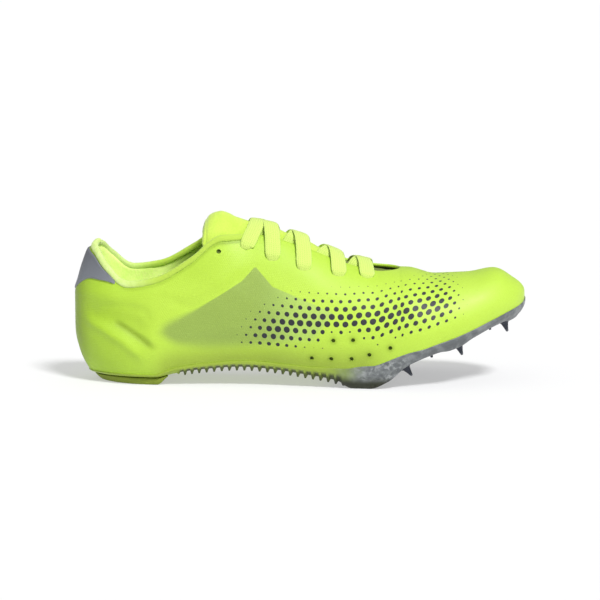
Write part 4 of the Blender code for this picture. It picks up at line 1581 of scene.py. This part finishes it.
@dataclass
class Collar:
    """Rolled binding along the collar's edge, and the lining of the whole upper."""

    last: Last
    shell: UpperShell
    binding: KnitLining = KnitLining(
        "Binding_knit", (0.650, 0.810, 0.290), (0.520, 0.700, 0.150),
        front=(0.450, 0.640, 0.070), front_start=-0.112, front_end=-0.085)
    # the lining's front colour is painted shadow towards the throat; its glow is painted light
    # round the heel
    lining: KnitLining = KnitLining(
        "Lining_knit", (0.820, 0.960, 0.320), (0.660, 0.860, 0.190),
        front=(0.330, 0.470, 0.070), front_start=-0.088, front_end=-0.070, painted_glow=0.24)
    binding_end: float = 0.402
    binding_probe: float = 0.98
    end_taper: float = 0.05
    gather: Span = (0.018, 0.9)
    gather_start: float = 0.02
    stations: int = 170
    lining_rows: int = 44
    lining_gap: float = 0.05 * MM
    pad: float = 2.0 * MM
    pad_end: float = 0.27
    pad_spans: Pairs = ((0.60, 0.78), (1.0, 0.95))
    channels: float = 46.0
    channel_width: float = 0.10
    channel_depth: float = 0.10
    channel_span: Span = (0.98, 0.90)
    section: Pairs = (
        (-2.0, -3.4), (-2.7, -2.6), (-2.9, -1.2), (-2.6, 0.2), (-1.9, 1.0), (-0.9, 1.3),
        (0.1, 1.05), (0.8, 0.3), (1.1, -0.9), (1.05, -2.1), (0.7, -3.1), (0.1, -3.6),
        (-0.3, -3.3), (-1.2, -3.0))

    def build_binding(self) -> bpy.types.Object:
        """Make the binding as one sweep from side to side round the heel."""
        last = self.last
        way = np.linspace(-1.0, 1.0, 2 * self.stations + 1)
        t, side = np.abs(way) * float(turn(self.binding_end)), np.where(way > 0.0, 1, -1)
        lean = last.wall_lean(t, side, 1.0)
        rim, out = last.dome_point(t, lean), last.dome_normal(t, lean)
        up = unit(rim - last.dome_point(t, last.wall_lean(t, side, self.binding_probe)))
        taper = np.sqrt(np.clip((1.0 - np.abs(way)) / self.end_taper, 0.02, 1.0))
        height, step = self.gather
        wave = np.sin(np.arange(len(way)) * step) * (np.abs(way) > self.gather_start)
        size = (taper * (1.0 + height * wave))[:, None, None]
        across, rise = np.array(self.section).T * MM
        middle = across.mean()
        points = (rim[:, None] + out[:, None] * (middle + (across - middle)[:, None] * size)
                  + up[:, None] * rise[:, None] * size)
        piece = make_piece("Collar_binding", points, tube_faces(len(way), len(self.section)),
                           self.binding.build())
        smooth = piece.modifiers.new("Soften", "SUBSURF")
        smooth.levels = smooth.render_levels = 1
        return fit_piece(piece, "upper")

    def build_lining(self) -> bpy.types.Object:
        """Make the lining inside the wall, padded round the heel's opening."""
        last = self.last
        ts = self.shell.station_list()
        ts = np.unique(np.concatenate([ts[::2], ts[-1:], [float(turn(last.vamp_point))]]))
        t, s = np.meshgrid(ts, np.linspace(0.0, 1.0, self.lining_rows + 1), indexing="ij")
        swell = math.prod(ramp(s, *span) for span in self.pad_spans)
        swell = swell * (1.0 - ease(share_at(t) / self.pad_end))
        beat = (share_at(t) * self.channels) % 1.0
        channel = self.channel_depth * ramp(s, *self.channel_span)
        channel = channel * bell(beat, 0.5, self.channel_width)
        points, faces = [], []
        for k, side in enumerate(SIDES):
            lean = last.wall_lean(t, side, s)
            plain = last.dome_point(t, lean).reshape(-1, 3)
            drop = self.shell.relief(plain, np.full(len(plain), side))[0].reshape(t.shape)
            inward = last.wall - self.lining_gap + self.pad * swell * (1.0 - channel)
            quads = grid_faces(*t.shape, start=k * t.size)
            faces.append(quads if side < 0 else quads[:, ::-1])
            points.append(last.skin(t, lean, np.minimum(drop, 0.0) - inward).reshape(-1, 3))
        piece = make_piece("Collar_lining", np.concatenate(points), np.concatenate(faces),
                           self.lining.build(), closed=False)
        return fit_piece(piece, "upper")


@dataclass
class HeelFilm:
    """Thin film that wraps the back of the heel in a triangle under the binding."""

    last: Last
    end: float = 0.088
    low: Span = (0.57, 0.905)
    high: Span = (0.935, 0.94)
    bend: float = 1.1
    proud: float = 0.85 * MM
    stations: int = 46
    rows: int = 40
    edge: float = 0.06
    edge_sunk: float = 0.2 * MM

    def build(self) -> bpy.types.Object:
        """Make the film."""
        way, rise = np.meshgrid(np.linspace(-1.0, 1.0, 2 * self.stations + 1),
                                np.linspace(0.0, 1.0, self.rows + 1), indexing="ij")
        reach, side = np.abs(way), np.where(way > 0.0, 1, -1)
        t = reach * float(turn(self.end))
        share = mix(mix(*self.low, reach ** self.bend), mix(*self.high, reach), rise)
        border = np.minimum(np.minimum(rise, 1.0 - rise), 1.0 - reach)
        lift = mix(-self.edge_sunk, self.proud, np.sqrt(np.clip(border / self.edge, 0.0, 1.0)))
        points = self.last.skin(t, self.last.wall_lean(t, side, share), lift)
        surface = np.stack([points[..., 1], points[..., 2], points[..., 0]], axis=-1) / MM
        piece = make_piece("Heel_film", points, grid_faces(*way.shape)[:, ::-1],
                           FilmGrey().build(), {"surface": surface.reshape(-1, 3)}, closed=False)
        return fit_piece(piece, "heel_patch", "Heel_patch")


@dataclass
class TonguePad:
    """Thin padded tongue with a stitched border, rising to a rounded tab."""

    last: Last
    # the tongue's dark front colour is painted shadow on its front end, deep in the throat
    finish: KnitLining = KnitLining(
        "Tongue_knit", (0.600, 0.800, 0.105), (0.480, 0.680, 0.060), 0.9,
        front=(0.150, 0.200, 0.020), front_start=0.020, front_end=0.030)
    start: float = 0.28
    end: float = 0.75
    lap: float = 8 * MM
    gap: float = 1.2 * MM
    thickness: float = 3 * MM
    border: float = 3.2 * MM
    groove: float = 0.45 * MM
    groove_width: float = 0.6 * MM
    channel_depth: float = 0.25 * MM
    channel_pace: float = 170.0
    channel_span: Span = (5 * MM, 8 * MM)
    widest: float = 0.9
    crowding: float = 1.35
    stations: int = 150
    columns: int = 56

    def height_at(self, t: Array, lean: Array) -> Array:
        """Return the tongue's height against the upper's dome."""
        rim_lean = np.maximum(QUARTER - self.last.rim_rise(t), FLAT)
        between = np.maximum(0.0, np.cos(np.minimum(1.0, np.abs(lean) / rim_lean) * QUARTER))
        return mix(1.0, Profile(TONGUE, 1)(t), between)

    def build(self) -> bpy.types.Object:
        """Make the tongue."""
        last = self.last
        way = np.linspace(0.0, 1.0, self.stations + 1) ** self.crowding
        t = turn(mix(self.start, self.end, way))
        half_width = last.half_width(t)
        lapped = np.minimum(self.widest, last.gape(t) + self.lap / half_width)
        lapped = lapped * Profile(TONGUE, 2)(t)
        edge = np.arcsin(lapped ** (1.0 / last.section["square"](t)))
        across = np.sin(np.linspace(-1.0, 1.0, self.columns + 1) * QUARTER)
        tt, cc = np.meshgrid(t, across, indexing="ij")
        lean = edge[:, None] * cc
        scale = self.height_at(tt, lean)
        from_top = last.length * (share_at(tt) - self.start)
        inset = np.minimum((lapped * half_width)[:, None] * (1.0 - np.abs(cc)), from_top)
        near = np.clip(inset / (self.thickness / 2.0), 0.0, 1.0)
        half = self.thickness / 2.0 * np.sqrt(near * (2.0 - near))
        seam = self.groove * bell(inset, self.border, self.groove_width)
        channel = self.channel_depth * np.sin(share_at(tt) * self.channel_pace)
        channel = np.minimum(channel * ramp(inset, *self.channel_span), 0.0)
        middle = -(last.wall + self.gap + self.thickness / 2.0)
        layers = [last.skin(tt, lean, middle + half - seam + channel, scale),
                  last.skin(tt, lean, middle - half + seam, scale)]
        quads = grid_faces(*tt.shape)
        faces = quads.tolist() + (quads[:, ::-1] + tt.size).tolist()
        index = np.arange(tt.size).reshape(tt.shape)
        ring = [*index[:, 0], *index[-1, 1:], *index[-2::-1, -1], *index[0, -2:0:-1]]
        for a, b in zip(ring, ring[1:] + ring[:1]):
            faces.append([int(a), int(b), int(b) + tt.size, int(a) + tt.size])
        points = np.concatenate([layer.reshape(-1, 3) for layer in layers])
        piece = make_piece("Tongue_pad", points, faces, self.finish.build())
        return fit_piece(piece, "tongue", "Tongue")


@dataclass
class InsoleSheet:
    """Insole inside the upper, slightly cupped round its edge."""

    last: Last
    finish: KnitLining = KnitLining(
        "Insole_knit", (0.500, 0.760, 0.110), (0.330, 0.560, 0.050), 1.6)
    inset: float = 2.3 * MM
    thickness: float = 3 * MM
    dish: float = 1.1 * MM
    dish_width: float = 9 * MM
    dish_end: float = 0.08
    stations: int = 120
    columns: int = 22

    def top(self, t: Array) -> Array:
        """Return the height of its edge's upper side."""
        return self.last.feather(t) + self.thickness

    def edges(self, t: Array, height: Line) -> list[Array]:
        """Return its outer and inner edge at a line of heights."""
        return [self.last.outline(t, side, self.inset, height) for side in SIDES]

    def build(self) -> bpy.types.Object:
        """Make the insole."""
        t = np.linspace(0.0, 1.0, self.stations + 1)
        share = np.linspace(0.0, 1.0, self.columns + 1)
        outer, inner = self.edges(t, self.top)
        upper = mix(outer[:, None], inner[:, None], share[None, :, None])
        wide = np.linalg.norm(inner - outer, axis=1)[:, None]
        from_edge = np.minimum(share, 1.0 - share)[None] * wide
        ends = np.minimum(t, 1.0 - t)[:, None]
        upper[..., 2] -= self.dish * ease(from_edge / self.dish_width) * ease(ends / self.dish_end)
        outer, inner = self.edges(t, self.last.feather)
        lower = mix(outer[:, None], inner[:, None], share[None, ::-1, None])
        ring = np.concatenate([upper, lower], axis=1)
        piece = make_piece("Insole_sheet", ring, grid_faces(*ring.shape[:2], ring=True),
                           self.finish.build())
        return fit_piece(piece, "insole", "Insole")


@dataclass
class Laces:
    """Flat woven lace, crossed over the tongue through the eyelets."""

    last: Last
    lacing: Lacing
    width: float = 9.6 * MM
    thickness: float = 1.5 * MM
    lift: float = 0.5 * MM
    arch: float = 0.5 * MM
    over: float = 0.9 * MM
    reach: float = 0.48
    swerve: float = 1.9
    under: float = 2.98 * MM
    tuck: float = 5 * MM
    top_rise: float = 0.7 * MM
    top_bow: float = 0.024
    end_back: float = 0.004
    pinch: float = 0.62
    flatness: float = 0.55
    squareness: float = 0.75
    edge_thin: float = 0.18
    pinch_swell: float = 0.5
    stations: int = 84
    section_points: int = 18

    def ribbon(self, along: Array, lean: Array, lift: Array, wide: Array) -> tuple[Array, Array]:
        """Return the rings of a flat lace.

        Args:
            along: Shares of the shoe's length at its stations.
            lean: Lean angles there.
            lift: Heights of its middle over the dome.
            wide: Widths there, as shares of the full width.

        Returns:
            Points ring by ring, and the surface marks of each.
        """
        t = turn(along)
        normal = self.last.dome_normal(t, lean)
        middle = self.last.dome_point(t, lean) + normal * lift[:, None]
        ahead = unit(np.gradient(middle, axis=0))
        across = unit(np.cross(normal, ahead))
        out = unit(np.cross(ahead, across))
        angle = np.linspace(0.0, ROUND, self.section_points, endpoint=False)
        c, s = np.cos(angle), np.sin(angle)
        flat = np.sign(c) * np.abs(c) ** self.flatness
        belly = 1.0 - self.edge_thin * (1.0 - np.abs(np.sin(math.pi * flat)))
        thick = np.sign(s) * np.abs(s) ** self.squareness * belly
        half = self.width / 2.0 * wide[:, None]
        deep = self.thickness / 2.0 * (1.0 + self.pinch_swell * (1.0 - wide[:, None]))
        points = (middle[:, None] + across[:, None] * (half * flat)[..., None]
                  + out[:, None] * (deep * thick)[..., None])
        gone, sideways = np.broadcast_arrays(walked(middle)[:, None] / MM,
                                             self.width / 2.0 * flat[None] / MM)
        return points, np.stack([gone, sideways, np.zeros(gone.shape)], axis=-1)

    def strand(self, keys: Sequence[tuple[float, ...]]) -> tuple[Array, Array]:
        """Return the rings of a lace through key places.

        Args:
            keys: Share of the way, share along the shoe, lean, lift and width of each.

        Returns:
            Points ring by ring, and their surface marks.
        """
        table = np.array(keys)
        way = np.linspace(table[0, 0], table[-1, 0], self.stations + 1)
        lines = [Profile(table.tolist(), k, spread=np.asarray)(way) for k in range(1, 5)]
        return self.ribbon(*lines)

    def crossing(self, front: float, back: float, side: int, over: float) -> tuple[Array, Array]:
        """Return a lace that crosses the throat, from one row to below the next.

        Args:
            front: Share of the length at the row that it leaves.
            back: Share of the length at the row behind.
            side: -1 to leave an outer eyelet, 1 an inner one.
            over: Extra height of its middle.

        Returns:
            Points ring by ring, and their surface marks.
        """
        rest = mix(front, back, self.reach)
        edge = self.lacing.edge_lean(float(turn(rest)))
        eye = self.lacing.eyelet_lean(front)
        spin = self.tuck / float(self.last.half_width(turn(rest)))
        base = self.lift + self.thickness / 2.0
        low = -self.under + self.thickness / 2.0
        far = -side * (edge + spin)
        crown = base + self.arch + over

        def row(w: float, lift: float, wide: float) -> tuple[float, ...]:
            """Return one key place."""
            along = mix(front, rest, max(0.0, w) ** self.swerve)
            return w, float(along), float(side * mix(eye, -edge, w)), lift, wide

        keys = [
            row(-0.09, -3.0 * MM, self.pinch), row(-0.035, -1.1 * MM, self.pinch),
            row(0.0, 0.35 * MM, 0.82), row(0.035, base, 0.96), row(0.09, base, 1.0),
            row(0.30, mix(base, crown, 0.6), 1.0), row(0.5, crown, 1.0),
            row(0.66, mix(base, crown, 0.4), 1.0), row(0.84, 0.1 * MM, 0.99), row(0.96, low, 0.98),
            row(1.0, low, 0.98), (1.14, float(rest) - self.end_back, far, low, 0.95)]
        return self.strand(keys)

    def top_bar(self) -> tuple[Array, Array]:
        """Return the lace that joins the two top eyelets."""
        along = self.lacing.rows[0]
        eye = self.lacing.eyelet_lean(along)
        base = self.lift + self.thickness / 2.0

        def row(way: float, lift: float, wide: float) -> tuple[float, ...]:
            """Return one key place."""
            bow = self.top_bow * math.sin(math.pi * min(1.0, max(0.0, way)))
            return way, along + bow, eye * (2.0 * way - 1.0), lift, wide

        half = [row(-0.05, -3.0 * MM, self.pinch), row(-0.02, -1.2 * MM, self.pinch),
                row(0.0, 0.35 * MM, 0.78), row(0.035, base, 0.94),
                row(0.12, base + self.top_rise * 0.4, 1.0),
                row(0.30, base + self.top_rise * 0.85, 1.0)]
        other = [row(1.0 - k[0], k[3], k[4]) for k in half[::-1]]
        return self.strand([*half, row(0.5, base + self.top_rise, 1.0), *other])

    def build(self) -> list[bpy.types.Object]:
        """Make every crossing and the top bar, and hide the solids that they replace."""
        material = LaceWeave().build()
        pieces = []
        rows = self.lacing.rows
        for n, (back, front) in enumerate(zip(rows, rows[1:]), start=1):
            for name, side, over in (("a", -1, self.over), ("b", 1, 0.0)):
                made = self.crossing(front, back, side, over)
                pieces.append(self.add(f"Lace_{n}{name}", made, material, f"Lace_crossing_{n}"))
        pieces.append(self.add("Lace_top", self.top_bar(), material, "Lace_top_bar"))
        return pieces

    def add(self, name: str, made: tuple[Array, Array], material: bpy.types.Material,
            node: str) -> bpy.types.Object:
        """Make one lace piece from its rings."""
        points, marks = made
        piece = make_piece(name, points, tube_faces(*points.shape[:2]), material,
                           {"surface": marks.reshape(-1, 3)})
        return fit_piece(piece, "lace", node)


@dataclass
class SolePlate:
    """Moulded plate with its row of edge teeth and a ribbed underside, and the heel's tread."""

    last: Last
    seat: float = 0.3 * MM
    tooth_pitch: float = 4.6 * MM
    tooth_depth: float = 2.1 * MM
    teeth_start: float = 0.22
    teeth_end: float = 0.6
    teeth_fade: float = 0.02
    tooth_span: Span = (0.22, 0.40)
    rubber_end: float = 0.2
    rubber_flat_end: float = 0.165
    rubber_nose: float = 0.7 * MM
    side_rows: int = 22
    across: int = 60
    station_counts: tuple[int, int, int] = (60, 10, 170)
    notch_inset: float = 1.7 * MM
    notch_spans: Pairs = ((0.42, 0.64), (1.0, 0.84))
    tip_spans: Pairs = ((0.66, 0.80), (0.97, 0.87))
    # span of the side's way over which the teeth's tips take painted shade
    tip_shade_span: Span = (0.58, 0.72)
    facet_spans: Pairs = ((0.05, 0.25), (0.8, 0.6))
    facet_depth: float = 1.1 * MM
    facet_zone: Pairs = ((26.0, 40.0), (92.0, 66.0))
    facet_lines: Pairs = ((0.55, 7.5), (-0.9, 6.1))
    least_height: float = 0.02 * MM
    rim_share: float = 14.0
    rib_depth: float = 0.8 * MM
    rib_pitch: float = 8.5
    rib_slope: float = 0.8
    rib_share_behind: float = 0.7
    rib_span: Span = (0.35, 0.65)
    spine_width: float = 3.2
    fore_span: Span = (28.0, 38.0)
    boss_height: float = 1.2 * MM
    boss_spans: Pairs = ((9.0, 6.5), (4.8, 5.6))
    edge_bosses: Pairs = ((95.0, 7.5), (131.0, 4.0))
    rubber_stations: int = 110
    rubber_across: int = 32
    rubber_groove: float = 0.9 * MM
    groove_pitch: float = 5.2
    groove_bend: Span = (1.6, 9.0)
    groove_span: Span = (0.55, 0.80)
    rubber_rim_share: float = 10.0
    # share of the side's way: inset in mm, share of the height fallen
    side_line: Triples = (
        (0.00, 2.4, 0.00), (0.06, -0.2, 0.00), (0.11, -0.6, 0.05), (0.40, -0.6, 0.38),
        (0.55, -0.1, 0.58), (0.72, 1.2, 0.84), (0.82, 2.2, 0.985), (0.90, 3.4, 1.0),
        (1.00, 6.2, 1.0))
    # inset in mm, share of the height fallen
    rubber_line: Pairs = (
        (1.9, 0.0), (1.45, 0.06), (1.4, 0.25), (1.5, 0.5), (1.7, 0.72), (2.1, 0.9), (2.8, 1.0),
        (4.2, 1.0))

    def teeth(self) -> int:
        """Return the number of teeth."""
        return round((self.teeth_end - self.teeth_start) * self.last.length / self.tooth_pitch)

    def station_list(self) -> Array:
        """Return the stations: close along the teeth, wider at the ends."""
        behind, each, ahead = self.station_counts
        middle = turn(np.linspace(self.teeth_start, self.teeth_end, self.teeth() * each + 1))
        back = np.linspace(0.0, middle[0], behind)[:-1]
        front = np.linspace(middle[-1], 1.0, ahead)[1:]
        return np.concatenate([back, middle, front])

    def tooth(self, t: Array) -> Array:
        """Return 1 on a tooth and 0 in the gap beside it."""
        first, last = self.teeth_start, self.teeth_end
        way = (share_at(t) - first) / (last - first) * self.teeth()
        shape = ramp(0.5 - np.abs(way % 1.0 - 0.5), *self.tooth_span)
        return np.where((way >= 0.0) & (way <= self.teeth()), shape, 0.0)

    def in_teeth(self, t: Array) -> Array:
        """Return 1 along the row of teeth, fading at both ends."""
        along = share_at(t)
        fades = ((along - self.teeth_start), (self.teeth_end - along))
        return math.prod(ease(left / self.teeth_fade) for left in fades)

    @staticmethod
    def between(top: Line, low: Line, fall: float) -> Line:
        """Return the line of heights at a share of the way down from one line to another."""
        def height(t: Array) -> Array:
            """Return the height at a station."""
            return mix(top(t), low(t), fall)
        return height

    @staticmethod
    def close_ring(sides: dict[int, Array], under: Array, over: Array) -> Array:
        """Return rings that go over the top, down the inner side, under and up the outer side."""
        return np.concatenate([over, sides[1], under, sides[-1][:, ::-1]], axis=1)

    def seat_line(self, t: Array) -> Array:
        """Return the height of the plate's upper edge."""
        return self.last.feather(t) - self.seat

    def pad_top(self, t: Array) -> Array:
        """Return the height of the rubber's upper side."""
        return self.last.underside(t) - self.seat

    def pad_low(self, t: Array) -> Array:
        """Return the height of the rubber's underside, bevelled at its front."""
        bevel = (share_at(t) - self.rubber_flat_end) / (self.rubber_end - self.rubber_flat_end)
        return mix(0.0, self.pad_top(t) - self.rubber_nose,
                   mix(ease(bevel), np.clip(bevel, 0, 1), 0.5))

    def build_side(self, t: Array, side: int) -> tuple[Array, Array]:
        """Return one side of the plate, from its upper edge round to the underside.

        Args:
            t: Stations.
            side: -1 for the outer side, 1 for the inner.

        Returns:
            Points of each station, and how much painted shade each takes, in the gaps between
            teeth and on their tips.
        """
        last = self.last
        tooth, row = self.tooth(t), self.in_teeth(t)
        q, inset_line, fall_line = np.array(self.side_line).T
        rows, gaps = [], []
        for share in np.linspace(0.0, 1.0, self.side_rows + 1):
            inset = float(np.interp(share, q, inset_line)) * MM
            fall = float(np.interp(share, q, fall_line))
            height = self.between(self.seat_line, last.underside, fall)
            low, tip, facet = (float(math.prod(ramp(share, *span) for span in spans))
                               for spans in (self.notch_spans, self.tip_spans, self.facet_spans))
            notch = row * (1.0 - tooth) * low
            points = mix(last.outline(t, side, inset, height),
                         last.outline(t, side, inset + self.notch_inset, height), notch[:, None])
            points[:, 2] -= self.tooth_depth * row * tooth * tip
            points[:, 2] -= self.boss_height * tip * self.edge_swell(points[:, 0])
            points[:, 2] = np.maximum(points[:, 2], self.least_height)
            points[:, 1] -= side * self.facets(points) * facet
            rows.append(points)
            # painted shade in the notches between teeth and on the teeth's tips
            gaps.append(np.maximum(notch, row * tooth * float(ramp(share, *self.tip_shade_span))))
        return np.stack(rows, axis=1), np.stack(gaps, axis=1)

    def build_plate(self) -> bpy.types.Object:
        """Make the plate."""
        t = self.station_list()
        sides, gaps = {}, {}
        for side in SIDES:
            sides[side], gaps[side] = self.build_side(t, side)
        share = np.linspace(0.0, 1.0, self.across + 2)[1:-1][None, :, None]
        under = mix(sides[1][:, -1:], sides[-1][:, -1:], share)
        near_edge = np.minimum(1.0, np.minimum(share, 1.0 - share)[..., 0] * self.rim_share)
        boss = self.bosses(under[..., 0], under[..., 1])
        under[..., 2] += near_edge * (self.tread(under[..., 0], under[..., 1]) * (1.0 - boss)
                                      - self.boss_height * boss)
        over = mix(sides[-1][:, :1], sides[1][:, :1], share[:, ::4])
        ring = self.close_ring(sides, under, over)
        # share of painted shade on the teeth, none on the underside and top
        gap = self.close_ring(gaps, np.zeros(under.shape[:2]), np.zeros(over.shape[:2]))
        piece = make_piece("Plate_moulding", ring, grid_faces(*ring.shape[:2], ring=True),
                           PlateResin().build(), {"gap": gap.ravel()})
        return fit_piece(piece, "plate", "Sole_plate")

    def edge_swell(self, x: Array) -> Array:
        """Return the share by which the side's lower edge swells beside the front pins."""
        return sum(np.exp(-((x / MM - middle) / wide) ** 4) for middle, wide in self.edge_bosses)

    def bosses(self, x: Array, y: Array) -> Array:
        """Return the share of the raised ring moulded round each pin's collar."""
        share = np.zeros(x.shape)
        for along, across in PIN_PLACES:
            dx = x - (along - 0.5) * self.last.length
            away = np.hypot(dx, y - across * self.last.ball_width) / MM
            share = np.maximum(share, math.prod(ramp(away, *span) for span in self.boss_spans))
        return share

    def facets(self, points: Array) -> Array:
        """Return the depth of the moulded facets on the forefoot's side."""
        x, z = points[:, 0] / MM, points[:, 2] / MM
        zone = math.prod(ramp(x, *span) for span in self.facet_zone)
        cut = sum(np.abs(((x + slope * z) / pitch) % 1.0 - 0.5)
                  for slope, pitch in self.facet_lines)
        return self.facet_depth * cut * zone

    def tread(self, x: Array, y: Array) -> Array:
        """Return how far the underside is recessed between its ribs."""
        x, y = x / MM, y / MM
        ribs = np.abs(((x + self.rib_slope * np.abs(y)) / self.rib_pitch) % 1.0 - 0.5) * 2.0
        spine = 1.0 - bell(y, 0.0, self.spine_width)
        depth = self.rib_depth * mix(self.rib_share_behind, 1.0, ramp(x, *self.fore_span))
        return depth * ramp(ribs, *self.rib_span) * spine

    def build_rubber(self) -> bpy.types.Object:
        """Make the heel's rubber pad with its tread."""
        t = np.linspace(0.0, float(turn(self.rubber_end)), self.rubber_stations)
        sides = {}
        for side in SIDES:
            rows = [self.last.outline(t, side, inset * MM,
                                      self.between(self.pad_top, self.pad_low, fall))
                    for inset, fall in self.rubber_line]
            sides[side] = np.stack(rows, axis=1)
        share = np.linspace(0.0, 1.0, self.rubber_across + 2)[1:-1][None, :, None]
        under = mix(sides[1][:, -1:], sides[-1][:, -1:], share)
        x, y = under[..., 0] / MM, under[..., 1] / MM
        depth, length = self.groove_bend
        bent = x + depth * np.abs((y / length) % 2.0 - 1.0)
        wave = np.abs((bent / self.groove_pitch) % 1.0 - 0.5) * 2.0
        rim = np.minimum(1.0, np.minimum(share, 1.0 - share)[..., 0] * self.rubber_rim_share)
        under[..., 2] += self.rubber_groove * ramp(wave, *self.groove_span) * rim
        ring = self.close_ring(sides, under, mix(sides[-1][:, :1], sides[1][:, :1], share[:, ::4]))
        piece = make_piece("Heel_tread", ring, tube_faces(*ring.shape[:2], capped=False),
                           TreadRubber().build())
        return fit_piece(piece, "heel_rubber", "Heel_rubber")


@dataclass
class SpikePins:
    """Spike pins with their flanged collars, square to the plate."""

    last: Last
    places: Pairs = PIN_PLACES
    collar_radius: float = 4.5 * MM
    gap: float = 0.4 * MM
    sides: int = 36
    worn_span: Span = (6.2, 7.4)
    # depth and radius in mm, and how far the hexagon shows
    rows: Triples = (
        (0.0, 4.1, 0.0), (0.05, 4.45, 0.0), (0.35, 4.5, 0.0), (0.75, 4.3, 0.0), (0.85, 3.9, 0.2),
        (0.95, 3.3, 1.0), (1.4, 3.2, 1.0), (1.55, 2.8, 0.6), (1.7, 2.5, 0.0), (2.6, 2.1, 0.0),
        (4.0, 1.62, 0.0), (5.5, 1.18, 0.0), (6.7, 0.88, 0.0), (7.2, 0.74, 0.0), (7.45, 0.5, 0.0),
        (7.5, 0.2, 0.0))

    def seat(self, along: float, across: float) -> tuple[Array, Array]:
        """Return the place of a pin's collar on the plate, and the direction that it points."""
        reach = self.collar_radius / self.last.length
        t = turn(along + reach * np.arange(-4, 5) / 4.0)
        y = np.full(len(t), across * self.last.ball_width)
        seat = np.stack([self.last.station_x(t), y, self.last.underside(t)], axis=-1)
        ahead = unit(seat[-1] - seat[0])
        down = np.array([ahead[2], 0.0, -ahead[0]])
        return seat[4] + down * (np.max((seat - seat[4]) @ down) + self.gap), down

    def build(self) -> list[bpy.types.Object]:
        """Make every pin."""
        material = PinMetal().build()
        angle = np.linspace(0.0, ROUND, self.sides, endpoint=False)
        hexagon = math.cos(math.pi / 6.0) / np.cos(angle % (math.pi / 3.0) - math.pi / 6.0)
        side_way = np.array([0.0, 1.0, 0.0])
        worn = [np.full(self.sides, float(ramp(depth, *self.worn_span)))
                for depth, *_ in self.rows]
        faces = tube_faces(len(self.rows), self.sides)
        pieces = []
        for n, place in enumerate(self.places, start=1):
            base, down = self.seat(*place)
            fore_way = np.cross(side_way, down)
            points = []
            for depth, radius, flats in self.rows:
                ring = (radius * MM * mix(1.0, hexagon, flats))[:, None]
                points.append(base + down * depth * MM + np.cos(angle)[:, None] * ring * side_way
                              + np.sin(angle)[:, None] * ring * fore_way)
            piece = make_piece(f"Spike_{n}", np.concatenate(points), faces, material,
                               {"worn": np.concatenate(worn)})
            pieces.append(fit_piece(piece, "spike", f"Spike_pin_{n}"))
        return pieces


def main() -> None:
    """Build the studio and every piece of the shoe."""
    logging.basicConfig(level=logging.INFO, format="%(message)s")
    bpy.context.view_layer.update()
    studio = Studio()
    studio.build_camera()
    last = Last()
    lacing = Lacing(last)
    Laces(last, lacing).build()
    SolePlate(last).build_plate()
    SolePlate(last).build_rubber()
    shell = UpperShell(last, lacing)
    shell.build()
    HoleShadeDiscs(last, shell).build()
    collar = Collar(last, shell)
    collar.build_binding()
    collar.build_lining()
    HeelFilm(last).build()
    TonguePad(last).build()
    InsoleSheet(last).build()
    SpikePins(last).build()
    studio.build_floor()
    studio.build_light()


if __name__ == "__main__":
    main()
